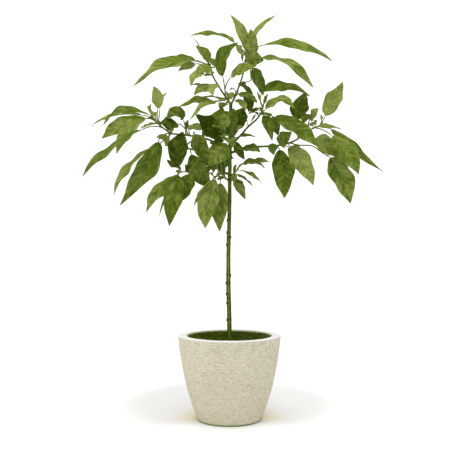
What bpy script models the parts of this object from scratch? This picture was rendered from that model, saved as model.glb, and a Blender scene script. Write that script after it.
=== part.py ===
"""Young avocado tree, 1.2 m tall, in a round planter with a rough plaster finish.

Units are metres, +Z is up and the viewer stands on the -Y side. The origin is
the centre of the planter's foot. The positions of stems and leaves are written
in centimetres, as they appear in the upright plane through the trunk: the
function `seen` moves each point along its line of sight to its own depth.
"""
import math
import random

import bmesh
import bpy
from mathutils import Vector

# Planter
POT_HEIGHT = 0.245
POT_RIM_RADIUS = 0.150
POT_FOOT_RADIUS = 0.092
POT_RIM_WIDTH = 0.0265
POT_RIM_ROUND = 0.004
POT_FLOOR = 0.020
POT_SEGMENTS = 40

# Soil
SOIL_TOP = 0.2390
SOIL_GAP = 0.0003
SOIL_SEGMENTS = 40
HOLE_BOTTOM = 0.150

# Trunk
TRUNK_TOP = 0.926
TRUNK_SIDES = 10
TRUNK_GAP = 0.0004

# Leaves and stems
BLADE_THICKNESS = 0.0008
PETIOLE_RADIUS = 0.0011
STEM_SIDES = 6
VALLEY = 0.16
CENTIMETRE = 0.01

# Where the leaves are sighted from, in centimetres
VIEW_DISTANCE = 177.0
VIEW_HEIGHT = 47.0

# Trunk axis: height in cm, sideways shift in cm, radius in cm
TRUNK_AXIS = (
    (15.03, 0.0, 0.64),
    (23.6, 0.0, 0.64),
    (28.9, -0.12, 0.62),
    (33.7, -0.25, 0.61),
    (39.8, -0.33, 0.60),
    (46.5, -0.25, 0.57),
    (52.9, -0.12, 0.56),
    (58.3, -0.02, 0.55),
    (63.6, 0.05, 0.54),
    (70.0, 0.08, 0.53),
    (78.0, 0.16, 0.52),
    (86.0, 0.28, 0.51),
    (92.1, 0.40, 0.50),
)

# Leaf scars on the bare part of the trunk: height in cm
TRUNK_NODES = (28.9, 33.7, 39.8, 42.0, 51.0, 54.5, 58.3, 63.6)

# Stems of each shoot. A point is (across, height, depth) in cm. The first stem
# of a shoot starts at the trunk; its first point lies on the trunk's axis.
# The last number is the radius at the thick end in cm.
STEMS = {
    "shoot_top_left": (
        (((0.4, 92.2, 0.0), (-1.1, 94.5, -1.2), (-2.3, 96.2, -1.4), (-3.1, 97.6, -1.2),
          (-4.9, 100.7, -0.6), (-5.7, 103.8, 0.0)), 0.25),
        (((-1.1, 94.5, -1.2), (-1.4, 97.2, -2.4), (-1.7, 99.2, -3.0)), 0.17),
    ),
    "shoot_top_right": (
        (((0.4, 92.2, 0.0), (1.5, 94.4, 1.4), (3.2, 98.6, 1.5), (4.2, 102.1, 1.5),
          (4.8, 105.2, 1.2), (4.7, 107.6, 1.0)), 0.25),
        (((3.2, 98.6, 1.5), (5.2, 98.9, 2.6), (6.9, 99.6, 3.4)), 0.16),
    ),
    "shoot_left_upper": (
        (((0.15, 77.1, 0.0), (-4.6, 81.3, 2.4), (-11.1, 83.0, 3.6), (-16.4, 83.6, 3.6),
          (-17.9, 84.2, 3.2), (-20.2, 85.9, 2.6), (-22.0, 87.5, 2.0)), 0.28),
    ),
    "shoot_left_lower": (
        (((0.1, 71.6, 0.0), (-3.3, 73.2, -1.2), (-6.6, 75.4, -3.4), (-8.6, 77.0, -4.6),
          (-10.1, 78.7, -5.0), (-12.5, 79.4, -5.0)), 0.27),
        (((-8.6, 77.0, -4.6), (-10.2, 74.4, -5.6), (-12.2, 72.7, -6.0),
          (-14.6, 72.4, -6.0)), 0.20),
    ),
    "shoot_right_upper": (
        (((0.2, 80.0, 0.0), (3.6, 83.5, -1.6), (5.4, 85.6, -2.6), (7.8, 87.7, -4.0),
          (9.3, 89.7, -5.0), (9.9, 91.4, -5.2)), 0.26),
    ),
    "shoot_right_lower": (
        (((0.15, 78.0, 0.0), (5.0, 79.3, 1.4), (8.0, 79.8, 2.0), (13.5, 80.1, 2.0),
          (17.7, 81.0, 2.0), (20.2, 82.2, 1.6), (22.4, 83.9, 1.0), (24.6, 85.2, 0.4),
          (27.1, 86.3, 0.0)), 0.29),
        (((17.7, 81.0, 2.0), (20.4, 80.3, 1.0), (24.2, 80.1, 0.0), (26.8, 78.4, -0.6),
          (28.6, 77.2, -0.8)), 0.19),
    ),
    "shoot_low_left": (
        (((0.1, 69.6, 0.0), (-1.6, 70.7, -2.2), (-3.6, 71.2, -3.8), (-4.4, 70.9, -4.2)), 0.22),
    ),
    "shoot_low_right": (
        (((0.1, 70.9, 0.0), (1.6, 72.3, -1.8), (2.4, 73.1, -2.4)), 0.22),
    ),
    "shoot_front": (
        (((0.2, 81.2, 0.0), (1.3, 82.4, -3.0), (0.9, 83.0, -7.0), (-0.8, 83.3, -11.0),
          (-1.8, 83.2, -14.5)), 0.26),
    ),
    "shoot_back_high": (
        (((0.2, 85.6, 0.0), (-0.9, 87.6, 6.0), (-3.0, 88.2, 12.0), (-4.0, 88.0, 18.0)), 0.27),
    ),
    "shoot_back_low": (
        (((0.1, 74.2, 0.0), (-1.8, 75.6, 6.0), (-4.8, 76.6, 12.0), (-6.2, 76.8, 18.0)), 0.27),
    ),
}

# Leaves of each shoot, one a row, in cm and degrees:
# foot of the petiole, base of the blade, its middle and its tip as (across, height),
# depth of base and tip, width of the blade, way it faces at base and tip.
# At 0 degrees the upper side looks up, at 90 it looks at the viewer.
LEAVES = {
    "shoot_top_left": (
        ((-5.6, 103.4), (-9.9, 105.0), (-18.9, 103.9), (-28.3, 97.6), -1.5, -6, 4.9, 44, 55),
        ((-5.6, 103.7), (-9.8, 105.3), (-15.0, 106.1), (-21.5, 105.1), 1.5, 7, 3.6, 24, 30),
        ((-5.3, 102.6), (-10.0, 104.2), (-12.6, 103.5), (-15.1, 102.0), 2.5, 8, 2.2, -50, -40),
        ((-5.6, 103.6), (-5.6, 105.0), (-7.3, 107.1), (-10.0, 109.6), -1.0, -5, 3.4, 60, 70),
        ((-5.7, 103.8), (-6.6, 105.4), (-8.7, 109.0), (-10.9, 112.3), 1.0, 4, 2.0, 6, 10),
        ((-5.6, 103.2), (-4.3, 103.3), (-5.0, 104.8), (-6.3, 106.1), 0.5, 3.0, 2.4, 60, 60),
        ((-5.0, 101.6), (-4.9, 101.9), (-7.6, 102.5), (-10.2, 101.0), -2.5, -5, 3.4, 64, 64),
        ((-3.1, 97.7), (-4.4, 97.3), (-8.0, 96.9), (-10.4, 94.9), -2.8, -5, 3.2, 72, 72),
        ((-3.0, 97.4), (-4.4, 98.2), (-8.4, 97.9), (-13.0, 98.5), 1.0, 5, 2.2, 8, 12),
        ((-1.7, 99.0), (-2.0, 100.4), (-1.9, 106.5), (2.8, 110.5), -3.4, -5.5, 3.8, 80, 60),
        ((-1.3, 96.6), (0.4, 100.3), (3.7, 102.5), (8.2, 103.5), -3.6, -8, 3.6, 62, 55),
        ((-0.6, 93.7), (-3.4, 93.2), (-7.6, 91.7), (-11.7, 87.6), -3.0, -9, 3.0, 35, 45),
        ((-0.8, 93.9), (-4.6, 93.3), (-9.9, 93.1), (-14.9, 91.5), -1.5, -4, 3.4, 40, 50),
        ((-0.9, 94.1), (-3.4, 94.3), (-5.8, 94.5), (-9.2, 94.1), 1.5, 7, 2.4, 25, 25),
        ((-0.4, 93.4), (-1.1, 92.7), (-1.9, 92.1), (-2.9, 91.0), -3.5, -7, 2.6, 60, 70),
        ((-2.7, 96.9), (-3.7, 98.2), (-5.0, 97.0), (-4.7, 94.9), -2.0, -7, 3.4, 62, 75),
        ((-4.9, 101.2), (-7.3, 101.3), (-10.1, 100.6), (-11.3, 97.5), -4.5, -8, 2.6, 62, 72),
    ),
    "shoot_top_right": (
        ((4.7, 107.3), (1.4, 110.5), (-4.4, 112.9), (-11.8, 112.3), 3.5, 7, 4.2, 38, 34),
        ((4.7, 106.9), (4.2, 107.3), (3.1, 108.1), (1.8, 109.7), 0.5, -3.0, 3.4, 60, 60),
        ((4.7, 107.5), (4.9, 108.0), (3.7, 113.3), (0.3, 118.6), 0.5, -2, 3.1, 75, 80),
        ((4.7, 107.6), (5.5, 109.0), (8.1, 113.9), (13.8, 118.6), 2.5, 6, 2.5, 52, 56),
        ((4.75, 107.2), (5.7, 105.8), (6.5, 110.2), (6.2, 114.5), 1.2, -3, 4.0, 75, 75),
        ((4.8, 106.3), (10.0, 109.7), (21.0, 109.4), (30.3, 104.8), 1.0, 2, 3.9, 50, 58),
        ((4.8, 105.4), (9.2, 105.8), (17.0, 104.4), (24.8, 97.0), -2.5, -8, 3.5, 30, 70),
        ((4.8, 105.8), (5.0, 104.7), (7.4, 105.2), (10.1, 105.2), -0.6, -2.6, 5.0, 76, 76),
        ((6.4, 99.5), (6.7, 103.1), (8.5, 99.4), (10.0, 94.8), 3.6, 6, 3.8, 70, 75),
        ((3.3, 98.8), (3.5, 97.7), (5.0, 96.7), (7.0, 95.2), 3.4, 10, 4.0, 60, 60),
        ((1.7, 95.1), (3.8, 94.9), (5.6, 92.9), (5.7, 90.0), 4.0, 9, 3.4, 70, 80),
        ((1.8, 95.3), (2.5, 95.4), (5.5, 94.6), (8.2, 92.6), 0.0, -5, 3.0, 50, 55),
        ((1.6, 94.7), (1.6, 95.3), (0.8, 95.1), (0.5, 93.6), -2.0, -5, 2.2, 50, 70),
        ((1.3, 94.2), (1.8, 93.5), (3.6, 92.6), (4.8, 90.4), -1.0, -6, 3.2, 60, 70),
        ((1.7, 95.0), (1.7, 96.2), (0.9, 96.9), (0.1, 96.0), 2.0, 5, 1.2, 20, 20),
        ((2.9, 97.9), (2.7, 98.4), (2.4, 98.8), (2.0, 99.3), 0.8, -2, 1.0, 40, 60),
    ),
    "shoot_left_upper": (
        ((-21.6, 87.2), (-23.8, 89.3), (-32.0, 90.1), (-37.2, 86.0), 3.0, 5, 4.8, 30, 40),
        ((-21.4, 87.0), (-26.0, 89.2), (-34.0, 88.9), (-40.8, 85.8), 6.0, 13, 4.2, 24, 24),
        ((-21.0, 86.6), (-24.6, 88.1), (-31.4, 85.9), (-37.6, 82.2), 0.5, -3, 5.6, 62, 72),
        ((-20.8, 86.4), (-25.4, 87.8), (-30.1, 83.9), (-33.2, 77.6), -2.5, -6, 4.2, 60, 70),
        ((-19.2, 85.1), (-26.0, 84.8), (-35.8, 78.8), (-43.3, 70.8), -6.0, -15, 3.8, 32, 54),
        ((-21.2, 86.8), (-21.1, 91.0), (-21.2, 94.5), (-22.4, 97.6), 1.5, 0, 3.7, 85, 85),
        ((-21.0, 86.6), (-20.5, 90.9), (-19.9, 93.9), (-18.1, 95.9), 4.0, 7, 3.0, 45, 40),
        ((-21.8, 87.4), (-22.0, 90.0), (-23.0, 90.4), (-24.3, 91.7), 0.0, -5, 3.6, 60, 55),
        ((-20.2, 85.9), (-21.0, 86.6), (-23.3, 86.2), (-25.9, 85.2), -2.0, -10, 4.2, 35, 30),
        ((-12.8, 83.3), (-13.6, 87.8), (-15.5, 89.6), (-18.4, 88.0), 1.0, -3, 5.2, 48, 60),
        ((-12.0, 83.2), (-15.3, 86.6), (-17.6, 86.6), (-20.6, 86.7), 0.0, -4, 4.2, 60, 65),
        ((-17.9, 84.3), (-18.8, 86.4), (-18.0, 85.6), (-16.9, 84.0), 1.0, -5, 2.6, 60, 60),
        ((-17.8, 84.0), (-18.1, 80.0), (-19.3, 82.1), (-21.5, 82.5), 1.0, -4, 3.0, 50, 60),
        ((-17.4, 83.9), (-20.9, 81.3), (-24.4, 73.2), (-32.4, 62.4), 0.0, -3, 6.1, 78, 70),
        ((-17.0, 83.8), (-22.6, 79.4), (-29.9, 73.4), (-34.1, 65.2), 4.5, 7, 5.0, 32, 36),
        ((-11.6, 83.1), (-12.2, 85.4), (-12.4, 86.6), (-12.0, 87.9), 2.6, 1.0, 1.2, 60, 60),
        ((-12.2, 83.2), (-12.6, 84.8), (-12.8, 86.0), (-12.9, 87.2), 4.0, 5.0, 1.0, 40, 40),
        ((-7.5, 82.2), (-8.0, 84.8), (-10.0, 85.5), (-12.1, 85.9), 3.0, 10, 3.8, 60, 60),
    ),
    "shoot_left_lower": (
        ((-14.4, 72.4), (-14.9, 73.9), (-15.0, 79.8), (-13.6, 84.3), -6.4, -3, 5.4, 82, 85),
        ((-14.2, 72.4), (-15.3, 71.7), (-16.5, 65.2), (-17.7, 56.4), -6.8, -9, 5.5, 82, 84),
        ((-14.5, 72.4), (-15.8, 71.1), (-20.8, 66.7), (-24.5, 60.5), -5.5, -4, 4.3, 45, 60),
        ((-12.4, 72.7), (-11.9, 71.9), (-12.8, 68.0), (-14.6, 63.4), -5.0, -4, 4.6, 80, 75),
        ((-14.5, 72.4), (-15.4, 71.2), (-18.3, 65.5), (-20.7, 59.2), -3.0, -1, 2.6, 24, 20),
        ((-14.6, 72.4), (-15.1, 73.5), (-16.6, 74.6), (-18.4, 76.1), -4.0, 2, 2.6, 50, 50),
        ((-11.9, 72.8), (-12.1, 72.9), (-12.5, 73.5), (-13.1, 74.6), -7.5, -11, 2.0, 50, 60),
        ((-11.6, 79.1), (-11.2, 77.6), (-9.0, 72.3), (-5.2, 67.5), -3.4, -2.4, 6.2, 76, 82),
        ((-10.6, 78.9), (-10.1, 83.6), (-8.7, 79.9), (-6.3, 74.9), -2.0, 1.0, 4.6, 80, 84),
        ((-4.4, 73.9), (-4.8, 74.0), (-5.6, 73.6), (-6.6, 72.0), -4.2, -9, 2.4, 50, 60),
    ),
    "shoot_right_upper": (
        ((9.9, 91.2), (10.0, 95.9), (16.4, 97.5), (23.8, 94.5), -4.6, -2, 4.6, 54, 44),
        ((9.7, 90.8), (10.5, 90.7), (15.0, 93.6), (19.3, 90.8), -7.0, -10, 3.6, 46, 55),
        ((9.2, 89.5), (13.2, 88.6), (20.0, 85.2), (26.4, 79.6), -6.0, -8, 4.9, 68, 74),
        ((9.0, 89.2), (10.0, 89.0), (11.3, 86.3), (12.6, 81.4), -6.4, -8, 3.0, 72, 76),
        ((9.3, 89.7), (12.6, 88.6), (13.4, 86.0), (14.4, 83.0), -4.4, -3, 2.8, 70, 74),
        ((9.1, 89.4), (9.8, 90.0), (10.8, 89.6), (11.6, 88.6), -6.0, -13, 2.8, 50, 50),
        ((9.4, 90.0), (9.2, 90.7), (8.4, 91.0), (7.2, 90.4), -4.0, 1.0, 2.2, 40, 40),
        ((9.8, 91.2), (10.2, 92.4), (10.4, 93.6), (10.2, 94.9), -5.6, -8, 1.4, 40, 40),
        ((8.6, 88.7), (8.2, 89.4), (7.0, 89.9), (5.6, 89.3), -4.6, -9, 2.0, 30, 30),
    ),
    "shoot_right_lower": (
        ((13.6, 80.1), (14.8, 80.4), (16.0, 82.0), (18.4, 84.2), 0.4, -5, 4.4, 66, 70),
        ((12.6, 80.0), (13.4, 80.6), (12.8, 79.4), (13.1, 77.3), 0.5, -3, 2.8, 70, 80),
        ((13.0, 80.0), (14.7, 79.0), (15.8, 72.2), (16.1, 64.6), -0.5, -4, 6.0, 84, 86),
        ((16.6, 80.7), (17.3, 79.6), (21.5, 74.8), (24.7, 68.4), 0.0, -3, 5.6, 80, 84),
        ((17.3, 80.9), (17.8, 80.0), (19.2, 79.7), (20.9, 79.0), 1.0, -6, 2.4, 60, 60),
        ((20.2, 82.2), (20.0, 87.6), (20.8, 91.6), (22.5, 95.8), 2.6, 4, 5.0, 74, 78),
        ((22.6, 84.0), (23.8, 88.2), (24.7, 89.3), (26.2, 91.2), 2.0, -4, 3.0, 60, 60),
        ((23.0, 84.3), (23.1, 89.4), (22.4, 88.5), (21.7, 86.6), 0.0, -3, 3.0, 60, 70),
        ((27.0, 86.3), (28.2, 88.9), (30.6, 93.4), (33.4, 99.0), 0.5, 2, 5.0, 72, 60),
        ((26.6, 86.1), (27.1, 87.6), (27.0, 88.4), (26.7, 89.3), -1.0, -3, 1.2, 60, 60),
        ((25.2, 85.5), (25.1, 86.3), (25.4, 87.0), (25.9, 87.5), -0.6, -3, 1.4, 60, 60),
        ((24.8, 85.3), (24.5, 85.9), (24.4, 86.5), (24.9, 87.1), 2.0, 5, 1.6, 60, 60),
        ((24.3, 85.1), (25.0, 85.5), (29.0, 85.7), (33.0, 84.9), -1.0, -5, 2.4, 34, 44),
        ((26.2, 85.9), (29.8, 85.0), (36.2, 79.3), (45.7, 72.0), 0.5, 3, 4.0, 66, 40),
        ((25.0, 85.3), (30.2, 83.0), (34.8, 77.8), (38.0, 71.6), -4.5, -8, 5.6, 74, 78),
        ((23.6, 84.7), (24.8, 81.5), (30.5, 79.2), (37.0, 73.2), -2.6, -3, 6.2, 66, 72),
        ((28.4, 77.3), (29.6, 76.7), (33.1, 70.5), (35.6, 63.1), -1.2, -5, 6.6, 80, 82),
    ),
    "shoot_low_left": (
        ((-3.8, 71.1), (-4.2, 70.3), (-6.5, 63.2), (-7.1, 55.8), -4.6, -8, 5.7, 82, 84),
        ((-2.4, 70.9), (-2.7, 69.2), (-3.1, 62.6), (-2.8, 54.8), -3.6, -5, 5.1, 84, 86),
        ((-4.2, 71.0), (-5.4, 69.6), (-8.0, 66.2), (-10.7, 62.1), -5.6, -11, 2.2, 30, 34),
        ((-1.2, 70.4), (-1.5, 71.0), (-2.6, 71.6), (-4.0, 71.0), -3.0, -9, 2.0, 40, 50),
        ((-4.3, 70.9), (-5.0, 71.4), (-5.9, 71.9), (-6.7, 71.4), -5.0, -10, 1.8, 20, 20),
    ),
    "shoot_low_right": (
        ((2.2, 72.9), (3.9, 75.0), (7.4, 75.5), (11.8, 75.4), -3.4, -8, 3.6, 38, 34),
        ((2.1, 72.8), (4.2, 74.7), (7.8, 74.9), (10.5, 73.4), -1.0, 3.0, 2.8, 26, 30),
        ((2.3, 73.0), (2.8, 73.0), (6.3, 71.6), (10.1, 68.7), -3.6, -10, 2.2, 28, 30),
        ((1.6, 72.3), (1.9, 71.8), (4.4, 70.3), (6.8, 68.2), -3.0, -8, 2.6, 24, 24),
        ((1.2, 71.9), (1.7, 70.6), (2.9, 67.8), (4.7, 64.2), -2.0, -3, 3.4, 52, 56),
        ((1.4, 72.1), (1.5, 71.8), (1.4, 70.6), (1.5, 69.1), -2.6, -5, 1.8, 70, 70),
    ),
    "shoot_front": (
        ((1.2, 82.3), (2.3, 82.6), (4.9, 83.0), (7.8, 82.6), -4.0, -9, 2.6, 30, 32),
        ((1.2, 82.2), (1.9, 81.4), (2.7, 78.7), (4.5, 76.0), -3.6, -5, 2.8, 66, 70),
        ((1.3, 82.4), (3.2, 79.1), (6.3, 79.2), (9.1, 78.1), -5.0, -9, 4.0, 40, 45),
        ((1.3, 82.5), (1.3, 83.4), (2.0, 84.8), (4.0, 86.0), -5.0, -10, 2.6, 60, 60),
        ((1.1, 82.8), (-0.9, 80.8), (-3.2, 77.8), (-6.2, 74.2), -7.5, -9, 5.8, 80, 84),
        ((-1.6, 83.2), (-3.0, 83.2), (-6.4, 86.4), (-9.9, 89.4), -14.0, -14, 4.6, 72, 60),
        ((-1.2, 83.3), (-2.8, 82.0), (-5.4, 83.4), (-7.6, 83.9), -11.5, -8, 3.2, 60, 60),
        ((-1.0, 83.3), (-2.2, 83.9), (-2.9, 87.5), (-1.9, 91.5), -9.5, -6, 5.0, 76, 76),
        ((-1.7, 83.2), (-1.2, 85.4), (-1.3, 87.6), (-2.1, 89.7), -15.5, -18, 2.6, 76, 76),
        ((1.0, 82.9), (1.4, 84.4), (2.9, 88.4), (3.9, 91.3), -5.0, -4, 4.8, 76, 78),
        ((0.9, 83.0), (0.6, 84.6), (0.6, 88.0), (1.4, 91.2), -7.6, -8, 3.4, 74, 76),
        ((-1.8, 83.2), (-2.4, 82.2), (-3.9, 80.9), (-5.7, 80.7), -15.5, -23, 3.0, 50, 50),
        ((-1.8, 83.2), (-1.2, 82.6), (0.0, 81.4), (0.9, 79.6), -15.5, -24, 3.2, 50, 50),
        ((-1.8, 83.2), (-2.2, 84.0), (-3.2, 85.4), (-4.6, 85.6), -16.0, -27, 3.2, 40, 40),
    ),
}

# Leaves of the two shoots that grow away from the viewer follow a rule:
# a turn of the golden angle from each leaf to the next.
BACK_LEAVES = {"shoot_back_high": 9, "shoot_back_low": 9}
BACK_FIRST = 0.36
BACK_TURN = math.radians(137.5)
BACK_LENGTH = 13.0
BACK_WIDTH = 4.2

# Blade stations along large, medium and small leaves, and lengths in cm
LARGE_STATIONS = (0.15, 0.38, 0.62, 0.84)
MEDIUM_STATIONS = (0.18, 0.48, 0.80)
SMALL_STATIONS = (0.24, 0.66)
LARGE_LEAF = 10.5
SMALL_LEAF = 6.0
SHORT_STALK = 1.6
ROOT_DEPTH = 0.10

# Linear colours
PLASTER = (0.62, 0.56, 0.44)
SOIL_BROWN = (0.035, 0.040, 0.012)
BARK = (0.085, 0.125, 0.030)
LEAF_DARK = (0.045, 0.095, 0.014)
LEAF_MID = (0.085, 0.150, 0.026)
LEAF_LIGHT = (0.150, 0.220, 0.045)


def material(name, colour, roughness):
    """Principled material of one colour."""
    made = bpy.data.materials.new(name)
    made.use_nodes = True
    shader = made.node_tree.nodes["Principled BSDF"]
    shader.inputs["Base Color"].default_value = (*colour, 1.0)
    shader.inputs["Roughness"].default_value = roughness
    shader.inputs["Metallic"].default_value = 0.0
    made.diffuse_color = (*colour, 1.0)
    return made


def add_object(name, vertices, faces, look=None):
    """Mesh object from vertices in metres and outward faces."""
    mesh = bpy.data.meshes.new(name)
    mesh.from_pydata([tuple(v) for v in vertices], [], faces)
    mesh.update()
    made = bpy.data.objects.new(name, mesh)
    bpy.context.collection.objects.link(made)
    if look is not None:
        mesh.materials.append(look)
    return made


def lathe(name, profile, segments, look):
    """Closed solid turned about Z from a profile of (radius, height) that runs
    from the axis underneath, out and up the outer side, to the axis on top."""
    vertices = []
    faces = []
    first = Vector((0.0, 0.0, profile[0][1]))
    last = Vector((0.0, 0.0, profile[-1][1]))
    vertices.append(first)
    for radius, height in profile[1:-1]:
        for step in range(segments):
            angle = 2.0 * math.pi * step / segments
            vertices.append(Vector((radius * math.cos(angle), radius * math.sin(angle), height)))
    vertices.append(last)
    rings = len(profile) - 2
    for step in range(segments):
        following = (step + 1) % segments
        faces.append((0, 1 + following, 1 + step))
        for ring in range(rings - 1):
            low = 1 + ring * segments
            high = low + segments
            faces.append((low + step, low + following, high + following, high + step))
        top = 1 + (rings - 1) * segments
        faces.append((top + step, top + following, len(vertices) - 1))
    made = add_object(name, vertices, faces, look)
    made.data.shade_smooth()
    made.data.set_sharp_from_angle(angle=math.radians(40.0))
    return made


def arc(centre, radius, start, end, steps):
    """Points of a circular arc in the profile plane, angles in degrees."""
    points = []
    for step in range(steps + 1):
        angle = math.radians(start + (end - start) * step / steps)
        points.append((centre[0] + radius * math.cos(angle), centre[1] + radius * math.sin(angle)))
    return points


def pot_inner_radius(height):
    """Radius of the planter's inside at a height."""
    rim = POT_RIM_RADIUS - POT_RIM_WIDTH
    foot = POT_FOOT_RADIUS - 0.012
    share = (height - POT_FLOOR) / (POT_HEIGHT - POT_FLOOR)
    return foot + (rim - foot) * max(0.0, share) ** 0.72


def make_pot():
    """Round planter: flat broad rim with soft edges, sides that curve in to the foot."""
    outer_edge = arc((POT_RIM_RADIUS - POT_RIM_ROUND, POT_HEIGHT - POT_RIM_ROUND),
                     POT_RIM_ROUND, 0.0, 90.0, 2)
    inner_edge = arc((POT_RIM_RADIUS - POT_RIM_WIDTH + POT_RIM_ROUND, POT_HEIGHT - POT_RIM_ROUND),
                     POT_RIM_ROUND, 90.0, 180.0, 2)
    profile = [(0.0, 0.0), (POT_FOOT_RADIUS, 0.0), (POT_FOOT_RADIUS + 0.0045, 0.004)]
    for step in range(1, 6):
        share = step / 6
        height = 0.004 + (POT_HEIGHT - 0.012) * share
        swell = math.sin(math.pi * share) * 0.0085
        radius = POT_FOOT_RADIUS + 0.0045 + (POT_RIM_RADIUS - POT_FOOT_RADIUS - 0.0045) * share
        profile.append((radius + swell, height))
    profile += outer_edge
    profile += inner_edge
    for height in (0.200, 0.120, 0.055):
        profile.append((pot_inner_radius(height), height))
    profile += [(pot_inner_radius(POT_FLOOR), POT_FLOOR), (0.0, POT_FLOOR)]
    return lathe("pot", profile, POT_SEGMENTS, material("pot_plaster", PLASTER, 0.85))


def make_soil():
    """Soil that fills the planter, slightly uneven on top, with a hole for the trunk."""
    hole = (TRUNK_AXIS[0][2] * CENTIMETRE + SOIL_GAP) / math.cos(math.pi / SOIL_SEGMENTS)
    side = SOIL_GAP / math.cos(math.pi / POT_SEGMENTS) + 0.0002
    profile = [(0.0, POT_FLOOR + SOIL_GAP),
               (pot_inner_radius(POT_FLOOR) - side, POT_FLOOR + SOIL_GAP)]
    for height in (0.055, 0.120, 0.200):
        profile.append((pot_inner_radius(height) - side, height))
    brim = pot_inner_radius(SOIL_TOP) - side - 0.0002
    profile.append((brim, SOIL_TOP - 0.0015))
    for share in (0.85, 0.62, 0.40, 0.20):
        profile.append((hole + (brim - hole) * share, SOIL_TOP + 0.003 * (1.0 - share) ** 2))
    profile += [(hole, SOIL_TOP + 0.003), (hole, HOLE_BOTTOM), (0.0, HOLE_BOTTOM)]
    made = lathe("soil", profile, SOIL_SEGMENTS, material("soil", SOIL_BROWN, 1.0))
    draw = random.Random(4)
    for vertex in made.data.vertices:
        reach = math.hypot(vertex.co.x, vertex.co.y)
        if vertex.co.z > SOIL_TOP - 0.001 and reach > hole + 0.002:
            vertex.co.z += draw.uniform(-0.0014, 0.0018)
    return made


def trunk_at(height):
    """Axis point and radius of the trunk at a height in cm, all in cm."""
    below = TRUNK_AXIS[0]
    for above in TRUNK_AXIS[1:]:
        if height <= above[0]:
            share = (height - below[0]) / (above[0] - below[0])
            across = below[1] + (above[1] - below[1]) * share
            return Vector((across, 0.0, height)), below[2] + (above[2] - below[2]) * share
        below = above
    return Vector((below[1], 0.0, height)), below[2]


def make_trunk():
    """Slim upright trunk with leaf scars on its bare part and a domed top."""
    heights = [row[0] for row in TRUNK_AXIS]
    swells = {}
    for node in TRUNK_NODES:
        heights += [node - 0.45, node, node + 0.45]
        swells[node] = 0.055
    vertices = []
    faces = []
    levels = sorted(set(heights))
    for level in levels:
        centre, radius = trunk_at(level)
        radius += swells.get(level, 0.0)
        for side in range(TRUNK_SIDES):
            angle = 2.0 * math.pi * (side + 0.5) / TRUNK_SIDES
            vertices.append(centre + Vector((radius * math.cos(angle), radius * math.sin(angle), 0.0)))
    crown, radius = trunk_at(levels[-1])
    for tilt in (35.0, 65.0):
        reach = radius * math.cos(math.radians(tilt))
        lift = radius * math.sin(math.radians(tilt))
        for side in range(TRUNK_SIDES):
            angle = 2.0 * math.pi * (side + 0.5) / TRUNK_SIDES
            vertices.append(crown + Vector((reach * math.cos(angle), reach * math.sin(angle), lift)))
    rings = len(levels) + 2
    foot = len(vertices)
    vertices.append(Vector((TRUNK_AXIS[0][1], 0.0, TRUNK_AXIS[0][0])))
    vertices.append(crown + Vector((0.0, 0.0, radius)))
    for side in range(TRUNK_SIDES):
        following = (side + 1) % TRUNK_SIDES
        faces.append((foot, following, side))
        for ring in range(rings - 1):
            low = ring * TRUNK_SIDES
            high = low + TRUNK_SIDES
            faces.append((low + side, low + following, high + following, high + side))
        top = (rings - 1) * TRUNK_SIDES
        faces.append((top + side, top + following, foot + 1))
    made = add_object("trunk", [v * CENTIMETRE for v in vertices], faces,
                      material("trunk_bark", BARK, 0.7))
    made.data.shade_smooth()
    made.data.set_sharp_from_angle(angle=math.radians(50.0))
    return made


def seen(across, height, depth):
    """Point at a depth behind the trunk's plane that is seen at a place in that plane, in cm."""
    grow = 1.0 + depth / VIEW_DISTANCE
    return Vector((across * grow, depth, VIEW_HEIGHT + (height - VIEW_HEIGHT) * grow))


def trunk_distance(point):
    """Distance from the trunk's surface to a point in cm, with the domed top."""
    top = TRUNK_AXIS[-1][0]
    centre, radius = trunk_at(min(point.z, top))
    if point.z <= top:
        return math.hypot(point.x - centre.x, point.y - centre.y) - radius
    return (point - centre).length - radius


def slide_to_trunk(point, direction):
    """Slide a point back against a direction until it is one gap from the trunk."""
    near = 0.0
    far = 4.0
    gap = TRUNK_GAP / CENTIMETRE
    for _ in range(50):
        middle = (near + far) / 2.0
        if trunk_distance(point + direction * middle) > gap:
            far = middle
        else:
            near = middle
    return point + direction * far


def ring_around(centre, axis, radius, sides, guide):
    """Points of a regular ring around an axis, the first one towards a guide."""
    across = (guide - axis * guide.dot(axis)).normalized()
    other = axis.cross(across)
    points = []
    for side in range(sides):
        angle = 2.0 * math.pi * side / sides
        points.append(centre + (across * math.cos(angle) + other * math.sin(angle)) * radius)
    return points


def loft(rings, start, end):
    """Vertices and faces of a closed tube through rings of equal count. The second
    half of each ring is the underside, and is split along the same diagonals."""
    count = len(rings[0])
    vertices = [point for ring in rings for point in ring] + [start, end]
    first = len(vertices) - 2
    last = len(vertices) - 1
    faces = []
    for side in range(count):
        following = (side + 1) % count
        faces.append((first, following, side))
        for ring in range(len(rings) - 1):
            low = ring * count
            high = low + count
            if count // 2 <= side < count - 1:
                faces.append((low + side, low + following, high + side))
                faces.append((low + following, high + following, high + side))
            else:
                faces.append((low + side, low + following, high + following))
                faces.append((low + side, high + following, high + side))
        top = (len(rings) - 1) * count
        faces.append((top + side, top + following, last))
    return vertices, faces


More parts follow.
